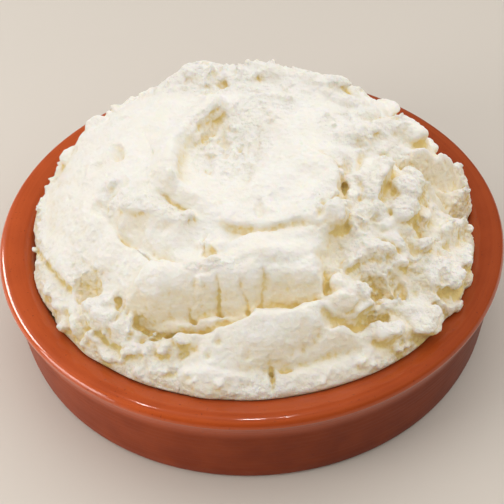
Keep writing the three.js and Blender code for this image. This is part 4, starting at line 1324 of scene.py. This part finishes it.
def fresh_curd():
    material, shader = new_material("fresh_curd")
    n = Nodes(material.node_tree)
    crease = n.attribute("crease")
    loose = n.attribute("loose")
    shelter = n.attribute("shelter")
    ivory = n.mottled(9, 3, (0.35, 0.65), (0.94, 0.91, 0.85), (0.96, 0.94, 0.89))
    warm = n.mix(n.span(n.noise(3.2, 4), 0.45, 0.75, 0.0, 0.25), ivory, colour(0.93, 0.88, 0.77))
    # Painted shade: the deeper the curd lies in folds and holes, the darker and warmer the beige
    # it is painted.
    shaded = n.mix(n.span(shelter, 0.12, 0.6, 0.0, 0.85), warm, colour(0.905, 0.795, 0.56))
    # Painted shade: the narrowest creases and deepest hollows are painted a darker yellow.
    deep = n.math("MULTIPLY_ADD", crease, 0.22, shelter)
    painted_crease_shade = n.mix(n.span(deep, 0.52, 0.9, 0.0, 0.95), shaded, colour(0.85, 0.68, 0.28))
    n.join(painted_crease_shade, shader.inputs["Base Color"])
    n.join(n.span(loose, 0.0, 0.8, 0.5, 0.7), shader.inputs["Roughness"])
    set_sockets(shader, IOR=1.4, Specular_IOR_Level=0.25, Subsurface_Weight=0.35,
                Subsurface_Radius=(1.0, 0.72, 0.42), Subsurface_Scale=1.4 * MM)
    coarse, fine = n.noise(1.2, 2, 0.5), n.noise(0.55, 3, 0.6)
    grain = n.math("MULTIPLY_ADD", coarse, 1.0, n.math("MULTIPLY", fine, 0.5))
    rough_grain = n.math("MULTIPLY", grain, n.span(loose, 0.05, 0.7, 0.45, 1.0))
    crumbs = n.add("ShaderNodeTexVoronoi", feature="SMOOTH_F1")
    n.join(n.place, crumbs.inputs["Vector"])
    crumbs.inputs["Scale"].default_value = 1 / (1.1 * MM)
    crumbs.inputs["Smoothness"].default_value = 0.15
    gaps = n.math("MULTIPLY", crumbs.outputs["Distance"], crumbs.outputs["Distance"])
    crumbed = n.math("MULTIPLY", gaps, n.span(loose, 0.25, 0.85, 0.0, -0.3))
    n.join(n.bump(n.math("ADD", rough_grain, crumbed), 0.7), shader.inputs["Normal"])
    return material


def glazed_terracotta():
    material, shader = new_material("glazed_terracotta")
    n = Nodes(material.node_tree)
    thrown = n.attribute("thrown")
    glaze = n.attribute("glaze")
    rings = n.add("ShaderNodeTexNoise", noise_dimensions="4D")
    n.join(n.place, rings.inputs["Vector"])
    rings.inputs["Scale"].default_value = 6.0
    rings.inputs["Detail"].default_value = 3.0
    n.join(n.math("MULTIPLY", thrown, 0.16), rings.inputs["W"])
    ring = rings.outputs["Fac"]
    clay = n.mottled(14, 4, (0.3, 0.7), (0.35, 0.055, 0.010), (0.41, 0.068, 0.013))
    ringed = n.mix(n.span(ring, 0.35, 0.65, 0.0, 0.5), clay, colour(0.45, 0.080, 0.016))
    bare = n.mottled(9, 4, (0.3, 0.7), (0.19, 0.030, 0.0075), (0.23, 0.039, 0.0095))
    coated = n.mix(glaze, bare, ringed)
    # Painted highlight along the lip, also standing for the glaze thinning at its edge.
    lip_highlight_and_thin_glaze = n.math("MULTIPLY", n.attribute("lip"), n.span(n.noise(5, 3), 0.3, 0.6, 0.2, 0.8))
    coated = n.mix(lip_highlight_and_thin_glaze, coated, colour(0.52, 0.14, 0.055))
    # Painted light: the dish is painted lighter on its left side and darker on its right, as if
    # light falls from the left.
    side = n.add("ShaderNodeSeparateXYZ")
    n.join(n.place, side.inputs["Vector"])
    painted_light_from_left = n.span(side.outputs["X"], -DISH_RADIUS * MM, DISH_RADIUS * MM, 1.16, 0.86)
    coated = n.scaled(coated, painted_light_from_left)
    specks = n.span(n.noise(0.7, 1, 0.4), 0.70, 0.76, 0.0, 0.5)
    n.join(n.mix(specks, coated, colour(0.12, 0.026, 0.014)), shader.inputs["Base Color"])
    n.join(n.span(glaze, 0.0, 1.0, 0.55, 0.32), shader.inputs["Roughness"])
    n.join(n.span(glaze, 0.0, 1.0, 0.14, 1.0), shader.inputs["Coat Weight"])
    set_sockets(shader, IOR=1.5, Specular_IOR_Level=0.1, Coat_Roughness=0.06, Coat_IOR=1.38)
    n.join(n.bump(ring, 0.12, n.bump(n.noise(3.5, 2), 0.05)), shader.inputs["Normal"])
    return material


def plain_floor():
    material, shader = new_material("floor_paint")
    set_sockets(shader, Base_Color=colour(0.60, 0.555, 0.50), Roughness=0.75)
    return material


# ---- stage ----
def lay_floor():
    deselect_everything()
    bpy.ops.mesh.primitive_plane_add(size=4, location=(0, 0, 0))
    floor = bpy.context.object
    floor.name = "floor"
    floor.data.materials.append(plain_floor())
    return floor


def put_in_scene(name, data):
    thing = bpy.data.objects.new(name, data)
    bpy.context.scene.collection.objects.link(thing)
    return thing


def soft_light(name, place, size, power, tint):
    light = bpy.data.lights.new(name, "AREA")
    light.shape = "RECTANGLE"
    light.size, light.size_y = size
    light.energy = power
    light.color = tint
    lamp = put_in_scene(name, light)
    lamp.location = place
    toward_heap = Vector((0, 0, 0.02)) - Vector(place)
    lamp.rotation_euler = toward_heap.to_track_quat("-Z", "Y").to_euler()
    return lamp


SIDE_TINT = (1.0, 0.96, 0.92)
# Panes and lamps that only show as glints in the glaze: name, place, size, power.
GLINTS = [
    ("pane", (-0.66, 0.30, 0.46), (0.52, 0.20), 8.0),
    ("lamp_left", (-0.33, 0.50, 1.37), (0.045, 0.045), 0.9),
    ("lamp_middle", (-0.02, 0.40, 1.45), (0.07, 0.035), 1.1),
    ("lamp_right", (0.085, 0.40, 1.44), (0.03, 0.03), 0.5),
]


def light_only(lamp, pieces):
    """Lets a lamp shine on some of the things alone."""
    lit = bpy.data.collections.new("lit_by_" + lamp.name)
    for piece in pieces:
        lit.objects.link(piece)
    lamp.light_linking.receiver_collection = lit


def light_the_stage():
    """A low lamp at the left, glints for the glaze, and a soft sky that is brightest overhead
    and dim where the glaze mirrors it."""
    soft_light("left_wall", (-0.85, -0.35, 0.12), (0.5, 0.2), 1.4, SIDE_TINT)
    for name, place, size, power in GLINTS:
        soft_light(name, place, size, power, (1.0, 0.97, 0.93)).visible_diffuse = False
    world = bpy.data.worlds.new("room")
    world.use_nodes = True
    n = Nodes(world.node_tree)
    sky = world.node_tree.nodes["Background"]
    toward = n.add("ShaderNodeVectorMath", operation="DOT_PRODUCT")
    n.join(n.add("ShaderNodeTexCoord").outputs["Generated"], toward.inputs[0])
    toward.inputs[1].default_value = (0.16, 0.28, 0.946)
    bright = n.span(toward.outputs["Value"], -0.12, 1.0, 0.20, 1.36)
    mirrored = n.add("ShaderNodeLightPath").outputs["Is Glossy Ray"]
    dimmed = n.span(mirrored, 0.0, 1.0, 1.0, 0.05)
    n.join(n.math("MULTIPLY", bright, dimmed), sky.inputs["Strength"])
    n.join(n.mix(n.span(toward.outputs["Value"], -0.3, 0.7), colour(1.0, 0.91, 0.80),
                 colour(1.0, 0.975, 0.94)), sky.inputs["Color"])
    bpy.context.scene.world = world
    bpy.context.scene.view_settings.view_transform = "Standard"


def set_camera():
    """Looks down at the heap from the front, a little rolled."""
    radius = DISH_RADIUS * MM
    rise = math.radians(CAMERA_RISE)
    target = Vector((0.001 * radius, -0.182 * radius, DISH_HEIGHT * MM))
    back = Vector((0, -math.cos(rise), math.sin(rise)))
    lens = bpy.data.cameras.new("view")
    lens.lens = 75
    lens.sensor_width = 36
    camera = put_in_scene("view", lens)
    camera.location = target + back * CAMERA_AWAY * radius
    turn = (-back).to_track_quat("-Z", "Y").to_matrix().to_4x4()
    roll = Matrix.Rotation(-math.radians(CAMERA_ROLL), 4, "Z")
    camera.rotation_euler = (turn @ roll).to_euler()
    bpy.context.scene.camera = camera


# ---- the bowl of cheese ----
set_camera()
floor = lay_floor()
light_the_stage()

curd = make_heap()
curd.data.materials.clear()
curd.data.materials.append(fresh_curd())
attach(curd, "root")
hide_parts("cheese")

dish = make_dish()
dish.data.materials.append(glazed_terracotta())
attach(dish, "root")
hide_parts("dish")

side_lamp = soft_light("side_lamp", (-0.70, -0.22, 0.25), (0.4, 0.2), 2.6, SIDE_TINT)
light_only(side_lamp, [dish, floor])
